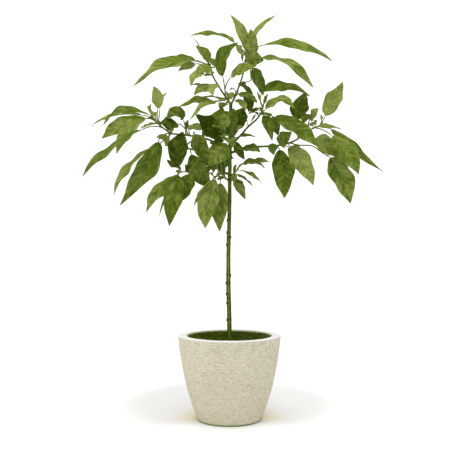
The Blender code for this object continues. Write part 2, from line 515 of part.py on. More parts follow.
def stem_solid(route, radius, from_trunk):
    """Tapering stem along a route of points in cm."""
    rings = []
    last = len(route) - 1
    whole = (route[last] - route[0]).normalized()
    guide = Vector((1.0, 0.0, 0.0)) if whole.y > 0.7 else Vector((0.0, -1.0, 0.15))
    for place, point in enumerate(route):
        before = route[max(0, place - 1)]
        after = route[min(last, place + 1)]
        axis = (after - before).normalized()
        size = radius * (1.0 - 0.35 * place / last)
        rings.append(ring_around(point, axis, size, STEM_SIDES, guide))
    start = route[0]
    if from_trunk:
        direction = (route[1] - route[0]).normalized()
        rings[0] = [slide_to_trunk(p, direction)
                    for p in ring_around(start, direction, radius, STEM_SIDES, guide)]
        start = slide_to_trunk(start, direction)
    return loft(rings, start, route[-1])


def nearest_on(routes, across, height):
    """Point of the stems that is seen nearest to a place in the trunk's plane."""
    best = None
    for route in routes:
        for low, high in zip(route, route[1:]):
            for step in range(21):
                place = low + (high - low) * (step / 20)
                grow = 1.0 + place.y / VIEW_DISTANCE
                seen_across = place.x / grow
                seen_height = VIEW_HEIGHT + (place.z - VIEW_HEIGHT) / grow
                miss = math.hypot(seen_across - across, seen_height - height)
                if best is None or miss < best[0]:
                    best = (miss, place)
    return best[1]


def bend(start, middle, end, share):
    """Point of the curve through three points, with the middle at half way."""
    control = middle * 2.0 - (start + end) * 0.5
    return start * (1.0 - share) ** 2 + control * 2.0 * share * (1.0 - share) + end * share ** 2


def blade_shape(share):
    """Half width of a blade along its length, as a part of its greatest half width."""
    return max(0.0, math.sin(math.pi * share ** 0.85)) ** 0.82 * (1.0 - 0.25 * share ** 4)


def facing(axis, to_right, degrees):
    """Normal of a blade from its direction and the way it faces the viewer."""
    viewer = Vector((0.0, -1.0, 0.0))
    forward = (viewer - axis * viewer.dot(axis)).normalized()
    upward = forward.cross(axis) if to_right else axis.cross(forward)
    turn = math.radians(degrees)
    return (upward * math.cos(turn) + forward * math.sin(turn)).normalized()


def leaf_solid(foot, base, middle, tip, width, faces_at, draw):
    """One leaf with its petiole: a thin, slightly folded and waved closed blade."""
    length = (tip - base).length
    wave = draw.uniform(0.06, 0.13) * min(1.0, length / 12.0)
    phase = draw.uniform(0.0, 2.0 * math.pi)
    half = BLADE_THICKNESS / CENTIMETRE / 2.0
    round_half = PETIOLE_RADIUS / CENTIMETRE
    first_axis = (bend(base, middle, tip, 0.04) - base).normalized()
    stalk = (base - foot).length
    control = base - first_axis * (stalk * 0.45)
    stations = SMALL_STATIONS
    if length > SMALL_LEAF:
        stations = LARGE_STATIONS if length > LARGE_LEAF else MEDIUM_STATIONS
    rings = []
    if stalk > SHORT_STALK:
        share = 0.45
        place = foot * (1 - share) ** 2 + control * 2 * share * (1 - share) + base * share ** 2
        axis = ((control - foot) * (1 - share) + (base - control) * share).normalized()
        normal = first_axis.rotation_difference(axis) @ faces_at(first_axis, 0.0)
        rings.append(section(place, axis, normal, round_half, round_half, 0.0, 0.0))
    rings.append(section(base, first_axis, faces_at(first_axis, 0.0), round_half,
                         round_half * 0.9, 0.0, 0.0))
    root = foot - (control - foot).normalized() * ROOT_DEPTH
    for share in stations:
        place = bend(base, middle, tip, share)
        axis = (bend(base, middle, tip, share + 0.02) - bend(base, middle, tip, share - 0.02)).normalized()
        reach = width / 2.0 * blade_shape(share)
        left = reach * VALLEY + wave * width * math.sin(phase + 9.0 * share)
        right = reach * VALLEY + wave * width * math.sin(phase + 2.2 + 8.0 * share)
        rings.append(section(place, axis, faces_at(axis, share), reach, half, left, right))
    return loft(rings, root, tip)


def section(place, axis, normal, reach, half, left, right):
    """Six points across a blade: upper side from left to right, then back underneath."""
    side = normal.cross(axis).normalized()
    upper = [place + side * reach + normal * (left + half * 0.8),
             place + normal * half,
             place - side * reach + normal * (right + half * 0.8)]
    lower = [place - side * reach + normal * (right - half * 0.8),
             place - normal * half,
             place + side * reach + normal * (left - half * 0.8)]
    return upper + lower


def shoot_routes(name):
    """Stem routes of a shoot as points in cm in the model's frame."""
    return [[seen(*point) for point in row[0]] for row in STEMS[name]]


def sighted_leaves(name, routes):
    """Leaves of a shoot that are laid out as the viewer sees them."""
    solids = []
    for number, row in enumerate(LEAVES.get(name, ())):
        foot_at, base_at, middle_at, tip_at, base_depth, tip_depth, width, turn, end_turn = row
        draw = random.Random(f"{name}{number}")
        foot = nearest_on(routes, *foot_at)
        base = seen(*base_at, base_depth)
        middle = seen(*middle_at, (base_depth + tip_depth) / 2.0)
        tip = seen(*tip_at, tip_depth)

        def faces_at(axis, share):
            return facing(axis, tip.x > base.x, turn + (end_turn - turn) * share)
        solids.append(leaf_solid(foot, base, middle, tip, width, faces_at, draw))
    return solids


def ruled_leaves(name, routes):
    """Leaves of a shoot that are set around its stem by the golden angle."""
    solids = []
    route = routes[0]
    count = BACK_LEAVES.get(name, 0)
    draw = random.Random(name)
    for number in range(count):
        along = BACK_FIRST + (0.98 - BACK_FIRST) * number / max(1, count - 1)
        whole = along * (len(route) - 1)
        low = min(len(route) - 2, int(whole))
        foot = route[low] + (route[low + 1] - route[low]) * (whole - low)
        turn = number * BACK_TURN + draw.uniform(-0.15, 0.15)
        lean = 0.72 - 0.3 * number / count
        out = Vector((math.sin(turn) * lean, 1.0, math.cos(turn) * lean * 0.75)).normalized()
        length = BACK_LENGTH * draw.uniform(0.85, 1.1)
        base = foot + out * 2.4
        middle = base + out * length * 0.5 + Vector((0.0, 0.0, 0.4))
        tip = base + out * length * 0.97 - Vector((0.0, 0.0, 1.6))

        def faces_at(axis, share):
            inward = Vector((-math.sin(turn), 0.35, -math.cos(turn)))
            return (inward - axis * inward.dot(axis)).normalized()
        solids.append(leaf_solid(foot, base, middle, tip, BACK_WIDTH * draw.uniform(0.85, 1.1),
                                 faces_at, draw))
    return solids


def make_shoot(name, look):
    """One leafy shoot: stems, petioles and blades joined into one body."""
    routes = shoot_routes(name)
    solids = [stem_solid(route, STEMS[name][place][1], place == 0)
              for place, route in enumerate(routes)]
    solids += sighted_leaves(name, routes)
    solids += ruled_leaves(name, routes)
    shoot = None
    repeats = bpy.data.collections.new(name + "_repeats")
    bpy.context.scene.collection.children.link(repeats)
    for number, (vertices, faces) in enumerate(solids):
        made = add_object(f"{name}_{number}", [v * CENTIMETRE for v in vertices], faces, look)
        if shoot is None:
            shoot = made
            continue
        bpy.context.collection.objects.unlink(made)
        repeats.objects.link(made)
    shoot.name = name
    union = shoot.modifiers.new("union", "BOOLEAN")
    union.operation = "UNION"
    union.operand_type = "COLLECTION"
    union.collection = repeats
    union.solver = "MANIFOLD"
    bpy.context.view_layer.update()
    joined = bpy.data.meshes.new_from_object(
        shoot.evaluated_get(bpy.context.evaluated_depsgraph_get()))
    shoot.modifiers.clear()
    shoot.data = joined
    shoot.data.name = name
    for repeat in list(repeats.objects):
        bpy.data.objects.remove(repeat)
    bpy.data.collections.remove(repeats)
    clean(shoot)
    return shoot


def clean(made):
    """Split the faces of a union into triangles and smooth its round pieces."""
    shape = bmesh.new()
    shape.from_mesh(made.data)
    bmesh.ops.triangulate(shape, faces=shape.faces)
    shape.to_mesh(made.data)
    shape.free()
    made.data.shade_smooth()
    made.data.set_sharp_from_angle(angle=math.radians(60.0))


def build():
    """Build the whole potted tree."""
    for old in list(bpy.data.objects):
        bpy.data.objects.remove(old)
    make_pot()
    make_soil()
    make_trunk()
    tones = {"shoot_front": LEAF_DARK, "shoot_back_high": LEAF_DARK, "shoot_back_low": LEAF_DARK,
             "shoot_top_left": LEAF_MID, "shoot_top_right": LEAF_LIGHT}
    for name in STEMS:
        make_shoot(name, material(name + "_leaf", tones.get(name, LEAF_MID), 0.45))


build()
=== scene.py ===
# %% [markdown]
# # A young avocado tree in a plaster planter
#
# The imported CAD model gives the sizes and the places: a planter, its soil, a slim trunk
# and eleven leafy shoots, all as plain solids. This lesson puts finer pieces in the same
# places, gives them their finishes, and lights them on a pale floor.

# %% Load the frame
import math
import random

import bmesh
import bpy
import numpy as np
from mathutils import Matrix, Vector
from mathutils.kdtree import KDTree


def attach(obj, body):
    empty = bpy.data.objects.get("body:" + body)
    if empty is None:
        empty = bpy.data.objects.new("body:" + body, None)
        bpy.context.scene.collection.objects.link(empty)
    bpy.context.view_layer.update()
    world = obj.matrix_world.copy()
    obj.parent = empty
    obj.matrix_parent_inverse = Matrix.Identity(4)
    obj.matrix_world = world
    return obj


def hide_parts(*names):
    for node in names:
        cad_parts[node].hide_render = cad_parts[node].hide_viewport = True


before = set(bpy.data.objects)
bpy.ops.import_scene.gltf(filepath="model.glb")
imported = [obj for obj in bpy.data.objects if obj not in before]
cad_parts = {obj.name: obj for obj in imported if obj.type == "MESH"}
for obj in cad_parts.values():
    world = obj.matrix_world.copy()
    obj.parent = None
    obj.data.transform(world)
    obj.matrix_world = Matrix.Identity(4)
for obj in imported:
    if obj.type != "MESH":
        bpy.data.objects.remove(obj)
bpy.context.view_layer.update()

# %% [markdown]
# ## Camera
#
# The photograph is taken from 1.8 m away and 47 cm above the floor, with the camera held
# level. A level camera keeps the trunk and the planter's sides upright. The picture is then
# shifted up, as with a view camera, so that the crown fits in it without a tilt.

# %% Camera
EYE = (0.0, -1.77, 0.47)
bpy.ops.object.camera_add(location=EYE, rotation=(math.radians(90.0), 0.0, 0.0))
camera = bpy.context.object
camera.data.lens = 47.1
camera.data.sensor_width = 36.0
camera.data.shift_x = 0.0012
camera.data.shift_y = 0.0616
camera.data.clip_end = 50.0
bpy.context.scene.camera = camera
print("Camera at", EYE, "with a lens of", camera.data.lens, "mm")

# %% [markdown]
# ## Helpers for modelling
#
# Most shapes below are made as by hand: a primitive, then edit mode, then extrude, inset
# or resize on chosen faces. An operator works on everything that is selected, so each step
# first selects exactly what it should touch.

# %% Selecting and editing
def nothing_selected():
    """Leave edit mode and deselect every object."""
    if bpy.context.object and bpy.context.object.mode != "OBJECT":
        bpy.ops.object.mode_set(mode="OBJECT")
    bpy.ops.object.select_all(action="DESELECT")


def select_only(*pieces):
    """Select these objects alone; the first one is the active one."""
    nothing_selected()
    for piece in pieces:
        piece.select_set(True)
    bpy.context.view_layer.objects.active = pieces[0]


def pick(piece, kind, test):
    """In edit mode, select just the vertices, edges or faces that pass a test."""
    if piece.mode != "EDIT":
        select_only(piece)
        bpy.ops.object.mode_set(mode="EDIT")
    bpy.ops.mesh.select_mode(type=kind)
    bpy.ops.mesh.select_all(action="DESELECT")
    shape = bmesh.from_edit_mesh(piece.data)
    parts = {"VERT": shape.verts, "EDGE": shape.edges, "FACE": shape.faces}[kind]
    for part in [part for part in parts if test(part)]:
        part.select_set(True)
    shape.select_flush_mode()
    bmesh.update_edit_mesh(piece.data)


def added(name):
    """Name the primitive that was just added, and return it."""
    bpy.context.object.name = name
    bpy.context.object.data.name = name
    return bpy.context.object


def drawn_on(here, there):
    """Extrude the chosen faces from one ring to the next, each (across, height, radius)."""
    bpy.ops.mesh.extrude_region_move(TRANSFORM_OT_translate={
        "value": (there[0] - here[0], 0.0, there[1] - here[1])})
    grow = there[2] / here[2]
    bpy.ops.transform.resize(value=(grow, grow, 1.0), center_override=(there[0], 0.0, there[1]))
    return there


def roughened(piece, name, size, depth):
    """Push a piece's surface in and out by a cloudy noise."""
    noise = bpy.data.textures.new(name, "CLOUDS")
    noise.noise_scale = size
    push = piece.modifiers.new(name, "DISPLACE")
    push.texture = noise
    push.texture_coords = "LOCAL"
    push.strength = depth
    select_only(piece)
    bpy.ops.object.modifier_apply(modifier=push.name)


def finish_piece(piece, angle, stands_for, slot):
    """Put a piece's place into its mesh, smooth its round faces and set it on the frame."""
    select_only(piece)
    bpy.ops.object.transform_apply(location=True, rotation=True, scale=True)
    bpy.ops.object.shade_smooth_by_angle(angle=math.radians(angle))
    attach(piece, "root")
    if stands_for:
        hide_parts(*stands_for)
    low = [round(min(v.co[i] for v in piece.data.vertices), 3) for i in range(3)]
    high = [round(max(v.co[i] for v in piece.data.vertices), 3) for i in range(3)]
    print(f"{piece.name}: {len(piece.data.polygons)} faces, from {low} to {high}")


# %% [markdown]
# ## Helpers for materials
#
# Every finish is a net of nodes around one Principled shader. What runs along a link of
# the net is wrapped in a small class, so that it can be added and multiplied like a
# number. This keeps the nets below short enough to read.

# %% Building nodes
def paint(red, green, blue):
    """Linear colour of a paint that looks like these 8-bit values."""
    linear = []
    for part in (red, green, blue):
        value = part / 255.0
        linear.append(value / 12.92 if value <= 0.04045 else ((value + 0.055) / 1.055) ** 2.4)
    return (*linear, 1.0)


def feed(socket, value):
    """Link a flow to a socket, or set a number, a colour or a place on it."""
    if isinstance(value, Flow):
        value.net.links.new(value.socket, socket)
    else:
        socket.default_value = value


class Flow:
    """What runs along a link of a node net: a number, a colour or a place."""

    def __init__(self, net, socket):
        self.net = net
        self.socket = socket

    def through(self, kind, operation, *others):
        """Take it, and the others after it, through one node of arithmetic."""
        made = self.net.nodes.new(kind)
        made.operation = operation
        for socket, value in zip(made.inputs, (self, *others)):
            feed(socket, value)
        return Flow(self.net, made.outputs[0])

    def math(self, operation, *others):
        return self.through("ShaderNodeMath", operation, *others)

    def __add__(self, other):
        return self.math("ADD", other)

    def __sub__(self, other):
        return self.math("SUBTRACT", other)

    def __mul__(self, other):
        return self.math("MULTIPLY", other)

    def __abs__(self):
        return self.math("ABSOLUTE")


def finish_material(name, roughness, specular):
    """New Principled material, its shader and the object coordinates."""
    made = bpy.data.materials.new(name)
    made.use_nodes = True
    net = made.node_tree
    shader = net.nodes["Principled BSDF"]
    shader.inputs["Roughness"].default_value = roughness
    shader.inputs["Specular IOR Level"].default_value = specular
    return made, shader, Flow(net, net.nodes.new("ShaderNodeTexCoord").outputs["Object"])


def parts_of(place):
    """The three parts of coordinates, as numbers."""
    made = place.net.nodes.new("ShaderNodeSeparateXYZ")
    feed(made.inputs[0], place)
    return [Flow(place.net, part) for part in made.outputs]


def carried(net, name, output):
    """What the mesh carries under a name at each of its points."""
    made = net.nodes.new("ShaderNodeAttribute")
    made.attribute_name = name
    return Flow(net, made.outputs[output])


def distance(across, away):
    """Distance from the middle, on the floor."""
    return (across * across + away * away).math("SQRT")


def between(value, low, high):
    """Soft step: 0 below the low value, 1 above the high one."""
    made = value.net.nodes.new("ShaderNodeMapRange")
    made.interpolation_type = "SMOOTHSTEP"
    for name, given in (("Value", value), ("From Min", low), ("From Max", high)):
        feed(made.inputs[name], given)
    return Flow(value.net, made.outputs["Result"])


def most(flows):
    """The greatest of several numbers."""
    greatest = flows[0]
    for flow in flows[1:]:
        greatest = greatest.math("MAXIMUM", flow)
    return greatest


def mixed(share, first, second):
    """Colour that goes from the first to the second by a share."""
    made = share.net.nodes.new("ShaderNodeMix")
    made.data_type = "RGBA"
    feed(made.inputs["Factor"], share)
    feed(made.inputs[6], first)
    feed(made.inputs[7], second)
    return Flow(share.net, made.outputs[2])


def cloudy(place, scale, detail=3.0, roughness=0.6):
    """Cloudy noise, from 0 to 1, over coordinates."""
    made = place.net.nodes.new("ShaderNodeTexNoise")
    for name, given in (("Vector", place), ("Scale", scale), ("Detail", detail),
                        ("Roughness", roughness)):
        feed(made.inputs[name], given)
    return Flow(place.net, made.outputs["Fac"])


def swing(noise, amount):
    """Noise that goes from 0 to 1, made to swing evenly round 0."""
    return (noise - 0.5) * amount


def stretched(place, amounts):
    """Coordinates multiplied by three amounts."""
    return place.through("ShaderNodeVectorMath", "MULTIPLY", amounts)


def relief(shader, height, depth):
    """Bump of a real depth in metres on a shader."""
    made = height.net.nodes.new("ShaderNodeBump")
    made.inputs["Strength"].default_value = 1.0
    made.inputs["Distance"].default_value = depth
    feed(made.inputs["Height"], height)
    height.net.links.new(made.outputs["Normal"], shader.inputs["Normal"])


# %% [markdown]
# ## Floor, backdrop and light
#
# The tree stands on a seamless pale sweep: a floor whose back edge is drawn up and rounded,
# so that no horizon shows. A large soft lamp overhead whitens the rim and the floor and
# leaves a soft shadow round the foot. A second lamp from the front left and a pale sky
# fill the shadows between the leaves. The paper also glows a little, as if it was lit
# from below, but not behind the planter, so that the crown's shadow stays. Close to the
# planter, at its sides and behind it, the paper is painted a warm beige: a painted warm
# shadow that carries the planter's colour.

# %% Floor and backdrop
FLOOR_SIZE = 12.0
BACKDROP_HEIGHT = 5.0
BACKDROP_ROUND = 2.0
at_back = FLOOR_SIZE / 2.0 - 0.1
bpy.ops.mesh.primitive_plane_add(size=FLOOR_SIZE, location=(0.0, 0.0, 0.0))
sweep = added("sweep")
pick(sweep, "EDGE", lambda edge: all(v.co.y > at_back for v in edge.verts))
bpy.ops.mesh.extrude_region_move(TRANSFORM_OT_translate={"value": (0.0, 0.0, BACKDROP_HEIGHT)})
pick(sweep, "EDGE", lambda edge: all(v.co.y > at_back and v.co.z < 0.1 for v in edge.verts))
bpy.ops.mesh.bevel(offset=BACKDROP_ROUND, segments=16, affect="EDGES")
nothing_selected()
sweep.data.shade_smooth()

# %% Studio paper
WHITE = (1.0, 1.0, 1.0, 1.0)
# How strongly the paper glows round the shade, to the right and far behind
GLOW_ROUND = 0.20
GLOW_RIGHT = 0.07
GLOW_FAR = 0.16
# Distance behind the tree of the middle of its shade
SHADE_BEHIND = 0.20
sweep_finish, shader, place = finish_material("studio_paper", 0.9, 0.2)
across, away, up = parts_of(place)
paper = mixed(cloudy(place, 1.5), paint(225, 225, 223), paint(228, 228, 227))
# Warm beige round the planter's foot, at its sides and behind it: a painted warm shadow.
painted_warm_shadow = between(distance(across, away), 0.19, 0.09) * between(away, -0.06, 0.0)
feed(shader.inputs["Base Color"], mixed(painted_warm_shadow, paper, paint(228, 217, 190)))
beside = between(distance(across, away - SHADE_BEHIND), 0.27, 0.42)
in_front = between(away, -0.02, -0.115)
right_side = between(across, -0.25, 0.25)
far_off = between(away + up, 0.6, 4.5)
feed(shader.inputs["Emission Color"], WHITE)
feed(shader.inputs["Emission Strength"],
     most([beside, in_front]) * GLOW_ROUND + right_side * GLOW_RIGHT + far_off * GLOW_FAR)
sweep.data.materials.append(sweep_finish)
print("Sweep:", len(sweep.data.polygons), "faces")

# %% Sky and lamps
scene = bpy.context.scene
scene.view_settings.view_transform = "Standard"
sky = bpy.data.worlds.new("sky")
sky.use_nodes = True
feed(sky.node_tree.nodes["Background"].inputs["Color"], WHITE)
feed(sky.node_tree.nodes["Background"].inputs["Strength"], 1.0)
scene.world = sky


def lamp(name, place, aim, size, power):
    """Square soft lamp that points at a place."""
    bpy.ops.object.light_add(type="AREA", location=place)
    made = bpy.context.object
    made.name = name
    made.rotation_euler = (Vector(aim) - Vector(place)).to_track_quat("-Z", "Y").to_euler()
    made.data.shape = "SQUARE"
    made.data.size = size
    made.data.energy = power


lamp("lamp_overhead", (-0.3, -0.4, 3.1), (0.0, 0.1, 0.0), 2.4, 27.0)
lamp("lamp_front_left", (-2.2, -2.6, 1.9), (0.0, 0.0, 0.6), 1.6, 14.0)

# %% [markdown]
# ## The planter
#
# A cast planter with a rough plaster finish: a foot, sides that swell a little on the way
# up, a broad flat rim with soft edges, and a thin wall inside. It could be spun from a
# profile. Drawing it up from its foot, one extrude and one resize for each level, is the
# same thing by hand, and leaves clean rings of faces for the uneven surface.

# %% Planter's profile
POT_HEIGHT = 0.245
POT_RIM_RADIUS = 0.150
POT_FOOT_RADIUS = 0.092
POT_RIM_WIDTH = 0.0265
POT_RIM_ROUND = 0.004
POT_FLOOR = 0.020
POT_LEVELS = 30
# The foot flares by this much over its first few millimetres
POT_FLARE = 0.0045
POT_FLARE_HEIGHT = 0.004
# Heights of the rings that go down inside
POT_INNER_LEVELS = (0.236, 0.230, 0.222, 0.200, 0.150, 0.100, 0.055, POT_FLOOR)


def pot_inner_radius(height):
    """Radius of the planter's inside at a height."""
    rim = POT_RIM_RADIUS - POT_RIM_WIDTH
    foot = POT_FOOT_RADIUS - 0.012
    share = (height - POT_FLOOR) / (POT_HEIGHT - POT_FLOOR)
    return foot + (rim - foot) * max(0.0, share) ** 0.72


def pot_profile():
    """Radius and height of each ring, up the outside, over the rim and down inside."""
    rings = []
    foot = POT_FOOT_RADIUS + POT_FLARE
    for level in range(1, POT_LEVELS):
        share = level / POT_LEVELS
        swell = math.sin(math.pi * share) * 0.0085
        rings.append((foot + (POT_RIM_RADIUS - foot) * share + swell,
                      POT_FLARE_HEIGHT + (POT_HEIGHT - 0.012) * share))
    edge = POT_RIM_RADIUS - POT_RIM_ROUND
    inner_edge = POT_RIM_RADIUS - POT_RIM_WIDTH + POT_RIM_ROUND
    for centre, start in ((edge, 0.0), (inner_edge, 90.0)):
        for step in range(7):
            angle = math.radians(start + 15.0 * step)
            rings.append((centre + POT_RIM_ROUND * math.cos(angle),
                          POT_HEIGHT - POT_RIM_ROUND + POT_RIM_ROUND * math.sin(angle)))
    for height in POT_INNER_LEVELS:
        rings.append((pot_inner_radius(height), height))
    return rings


# %% Draw the planter up from its foot
bpy.ops.mesh.primitive_cone_add(vertices=128, radius1=POT_FOOT_RADIUS,
                                radius2=POT_FOOT_RADIUS + POT_FLARE,
                                depth=POT_FLARE_HEIGHT, end_fill_type="NGON",
                                location=(0.0, 0.0, POT_FLARE_HEIGHT / 2.0))
planter = added("planter")
bpy.ops.object.transform_apply(location=True)
pick(planter, "FACE", lambda face: face.normal.z > 0.9)
here = (0.0, POT_FLARE_HEIGHT, POT_FOOT_RADIUS + POT_FLARE)
for radius, height in pot_profile():
    here = drawn_on(here, (0.0, height, radius))
nothing_selected()
roughened(planter, "plaster_unevenness", 0.035, 0.0012)
pick(planter, "VERT", lambda v: v.co.z < 0.002)
bpy.ops.transform.resize(value=(1.0, 1.0, 0.0), center_override=(0.0, 0.0, 0.0))
nothing_selected()
finish_piece(planter, 50.0, ["pot"], "pot_plaster")

# %% [markdown]
# ### Plaster
#
# The sides are cream and trowelled: short ridges and hollows that run more along than up,
# a few millimetres high and a fraction of a millimetre deep. Their crests are painted
# lighter, a painted highlight, and the hollows darker, painted shade. The sides are also
# painted darker towards the foot, painted shade, and the rim's top nearly white, a painted
# highlight from the lamp above. The inner wall is tinged with algae, and a thin green line
# runs along the very edge of the foot. All of it is noise over the planter's own
# coordinates. For the ridges it is squeezed in height, so that they lie along the wall.

# %% Plaster finish
plaster, shader, place = finish_material("rough_plaster", 0.88, 0.25)
across, away, up = parts_of(place)
ridges = cloudy(stretched(place, (1.0, 1.0, 4.6)), 88.0)
grit = cloudy(place, 420.0, 2.0, 0.5)
patches = cloudy(place, 14.0)
wall = mixed(patches, paint(216, 207, 181), paint(227, 219, 196))
# Ridge crests painted lighter: a painted highlight.
wall = mixed(between(ridges, 0.46, 0.66) * 0.56, wall, paint(242, 236, 220))
# Hollows between the ridges painted darker: painted shade.
painted_pit_shade = between(ridges + swing(grit, 0.4), 0.47, 0.34)
wall = mixed(painted_pit_shade * 0.65, wall, paint(181, 169, 138))
# The sides painted darker and more yellow towards the foot: painted shade.
wall = mixed(between(up, 0.21, 0.0) * 0.16, wall, paint(190, 177, 140))
# The rim's top is painted nearly white: a painted highlight from the lamp above.
top = mixed(patches, paint(225, 224, 217), paint(233, 232, 228))
painted_lit_rim = between(up + ridges * 0.0016, 0.2420, 0.2450)
body = mixed(painted_lit_rim, wall, top)
inside = between(distance(across, away) - patches * 0.006, 0.1243, 0.1225)
under_rim = between(up + grit * 0.004, 0.2470, 0.2450) * up.math("GREATER_THAN", 0.2)
body = mixed(inside * under_rim * 0.8, body, paint(122, 140, 74))
# A thin green line painted along the very edge of the foot.
foot_edge_green = between(up - ridges * 0.004, 0.0046, 0.0012)
body = mixed(foot_edge_green * 0.95, body, paint(96, 136, 12))
feed(shader.inputs["Base Color"], body)
relief(shader, (ridges * 0.8 + grit * 0.2) * (painted_lit_rim * -0.7 + 1.0), 0.0088)
planter.data.materials.clear()
planter.data.materials.append(plaster)
print("Plaster finish with", len(place.net.nodes), "nodes")

# %% [markdown]
# ## Soil and moss
#
# The soil nearly fills the planter: dark, damp and crumbly. Its top is a disc drawn
# inwards ring by ring and then shaken a little, so that it isn't flat. On it lie crumbs,
# which are one knocked-about ball copied many times, and along the wall and in a few
# places grow tufts of moss, one tuft of thin spikes copied in the same way.

# %% Soil body
SOIL_TOP = 0.2390
SOIL_DEPTH = 0.040
SOIL_RINGS = 22
brim = pot_inner_radius(SOIL_TOP) + 0.0005
bpy.ops.mesh.primitive_cylinder_add(vertices=96, radius=brim, depth=SOIL_DEPTH,
                                    location=(0.0, 0.0, SOIL_TOP - SOIL_DEPTH / 2.0))
earth = added("earth")
bpy.ops.object.transform_apply(location=True)
pick(earth, "FACE", lambda face: face.normal.z < -0.9)
narrow = (pot_inner_radius(SOIL_TOP - SOIL_DEPTH) - 0.001) / brim
bpy.ops.transform.resize(value=(narrow, narrow, 1.0),
                         center_override=(0.0, 0.0, SOIL_TOP - SOIL_DEPTH))
pick(earth, "FACE", lambda face: face.normal.z > 0.9)
for ring in range(SOIL_RINGS):
    bpy.ops.mesh.inset(thickness=brim / (SOIL_RINGS + 2))
bpy.ops.mesh.poke()
pick(earth, "VERT", lambda v: v.co.z > SOIL_TOP - 0.001 and v.co.xy.length < brim * 0.985)
bpy.ops.transform.vertex_random(offset=0.0016, normal=1.0, seed=6)
nothing_selected()
finish_piece(earth, 60.0, ["soil"], "soil")


# %% Copies of a small shape
def copies(name, master, places):
    """A copy of the master at each place, given as matrices."""
    made = []
    for number, where in enumerate(places):
        copy = bpy.data.objects.new(f"{name}_{number}", master.data.copy())
        copy.data.transform(where)
        scene.collection.objects.link(copy)
        made.append(copy)
    return made


def strewn(name, master, places):
    """One piece made of a copy of the master at each place."""
    select_only(*copies(name, master, places))
    bpy.ops.object.join()
    bpy.data.objects.remove(master)
    return added(name)


def on_soil(away, angle, height):
    """Place on the soil, by its distance from the middle, its angle and its height."""
    return Vector((away * math.cos(angle), away * math.sin(angle), SOIL_TOP + height))


def upright(place, lean, turn, size):
    """Matrix for a copy that stands at a place, leaning and turned, at some size."""
    return (Matrix.Translation(place) @ Matrix.Rotation(turn, 4, "Z")
            @ Matrix.Rotation(lean, 4, "X") @ Matrix.Diagonal((*size, 1.0)))


# %% Crumbs of soil
CRUMBS = 1500
bpy.ops.mesh.primitive_ico_sphere_add(subdivisions=1, radius=1.0)
crumb = added("crumb")
pick(crumb, "VERT", lambda v: True)
bpy.ops.transform.vertex_random(offset=0.35, seed=2)
nothing_selected()
draw = random.Random(11)
crumb_places = []
for number in range(CRUMBS):
    away_from_centre = (brim - 0.003) * math.sqrt(draw.uniform(0.01, 1.0))
    angle = draw.uniform(0.0, math.tau)
    size = 0.0007 + 0.0024 * draw.random() ** 3
    spot = on_soil(away_from_centre, angle, 0.0006 + size * 0.25)
    flat = (size * draw.uniform(0.8, 1.3), size, size * draw.uniform(0.6, 0.9))
    crumb_places.append(upright(spot, draw.uniform(-0.6, 0.6), angle * 7.0, flat))
crumbs = strewn("crumbs", crumb, crumb_places)
finish_piece(crumbs, 30.0, (), "soil")

# %% Moss tufts
TUFTS = 620
TUFTS_BY_THE_WALL = 430
bpy.ops.mesh.primitive_cone_add(vertices=3, radius1=0.16, radius2=0.0, depth=1.0,
                                location=(0.0, 0.0, 0.45))
spike = added("spike")
bpy.ops.object.transform_apply(location=True)
spikes = [upright(Vector((0.0, 0.0, 0.0)), lean, turn, (1.0, 1.0, tall))
          for lean, turn, tall in ((0.1, 0.3, 1.0), (0.5, 1.4, 0.8), (0.6, 2.9, 0.7),
                                   (0.45, 4.2, 0.85), (0.7, 5.4, 0.6))]
tuft = strewn("tuft", spike, spikes)
tuft_places = []
for number in range(TUFTS):
    by_the_wall = number < TUFTS_BY_THE_WALL
    angle = draw.uniform(0.0, math.tau)
    away_from_centre = brim - (0.001 + 0.006 * draw.random() ** 2)
    if not by_the_wall:
        angle = draw.gauss(0.1, 0.55)
        away_from_centre = brim * draw.uniform(0.35, 0.95)
    size = draw.uniform(0.0016, 0.0036) * (1.0 if by_the_wall else 0.75)
    spot = on_soil(away_from_centre, angle, -0.0002)
    tuft_places.append(upright(spot, draw.uniform(-0.4, 0.4), angle * 5.0,
                               (size, size, size * draw.uniform(0.9, 1.8))))
moss = strewn("moss", tuft, tuft_places)
finish_piece(moss, 20.0, (), "soil")

# %% [markdown]
# ### Damp earth and moss
#
# Wet soil is nearly black with an olive tone, and greener in patches where moss begins.
# Moss is one green with lighter tips; its colour changes from tuft to tuft by a coarse
# noise.

# %% Soil and moss finishes
soil_finish, shader, place = finish_material("damp_earth", 0.95, 0.02)
clods = cloudy(place, 130.0, 4.0, 0.65)
ground = mixed(between(clods, 0.35, 0.7), paint(41, 50, 2), paint(76, 88, 13))
greener = between(cloudy(place, 22.0), 0.52, 0.66) * 0.7
feed(shader.inputs["Base Color"], mixed(greener, ground, paint(80, 98, 34)))
relief(shader, clods, 0.004)
earth.data.materials.append(soil_finish)
crumbs.data.materials.append(soil_finish)

moss_finish, shader, place = finish_material("moss_green", 0.8, 0.2)
tips = between(parts_of(place)[2], SOIL_TOP, SOIL_TOP + 0.005)
green = mixed(cloudy(place, 60.0, 2.0), paint(74, 98, 30), paint(112, 134, 62))
feed(shader.inputs["Base Color"], mixed(tips, green, paint(140, 158, 88)))
relief(shader, cloudy(place, 900.0, 2.0), 0.0006)
moss.data.materials.append(moss_finish)
print("Soil and moss finished")

# %% [markdown]
# ## The trunk
#
# A straight young trunk, 14 mm thick at the soil and 10 mm at the top, with a slight
# sway. It is a round bar drawn up in short steps. It swells at each old leaf node, where
# a scar is left: a small patch of bark that is drawn in and raised. Round collars show
# where the shoots leave it.

# %% Trunk's line
CENTIMETRE = 0.01
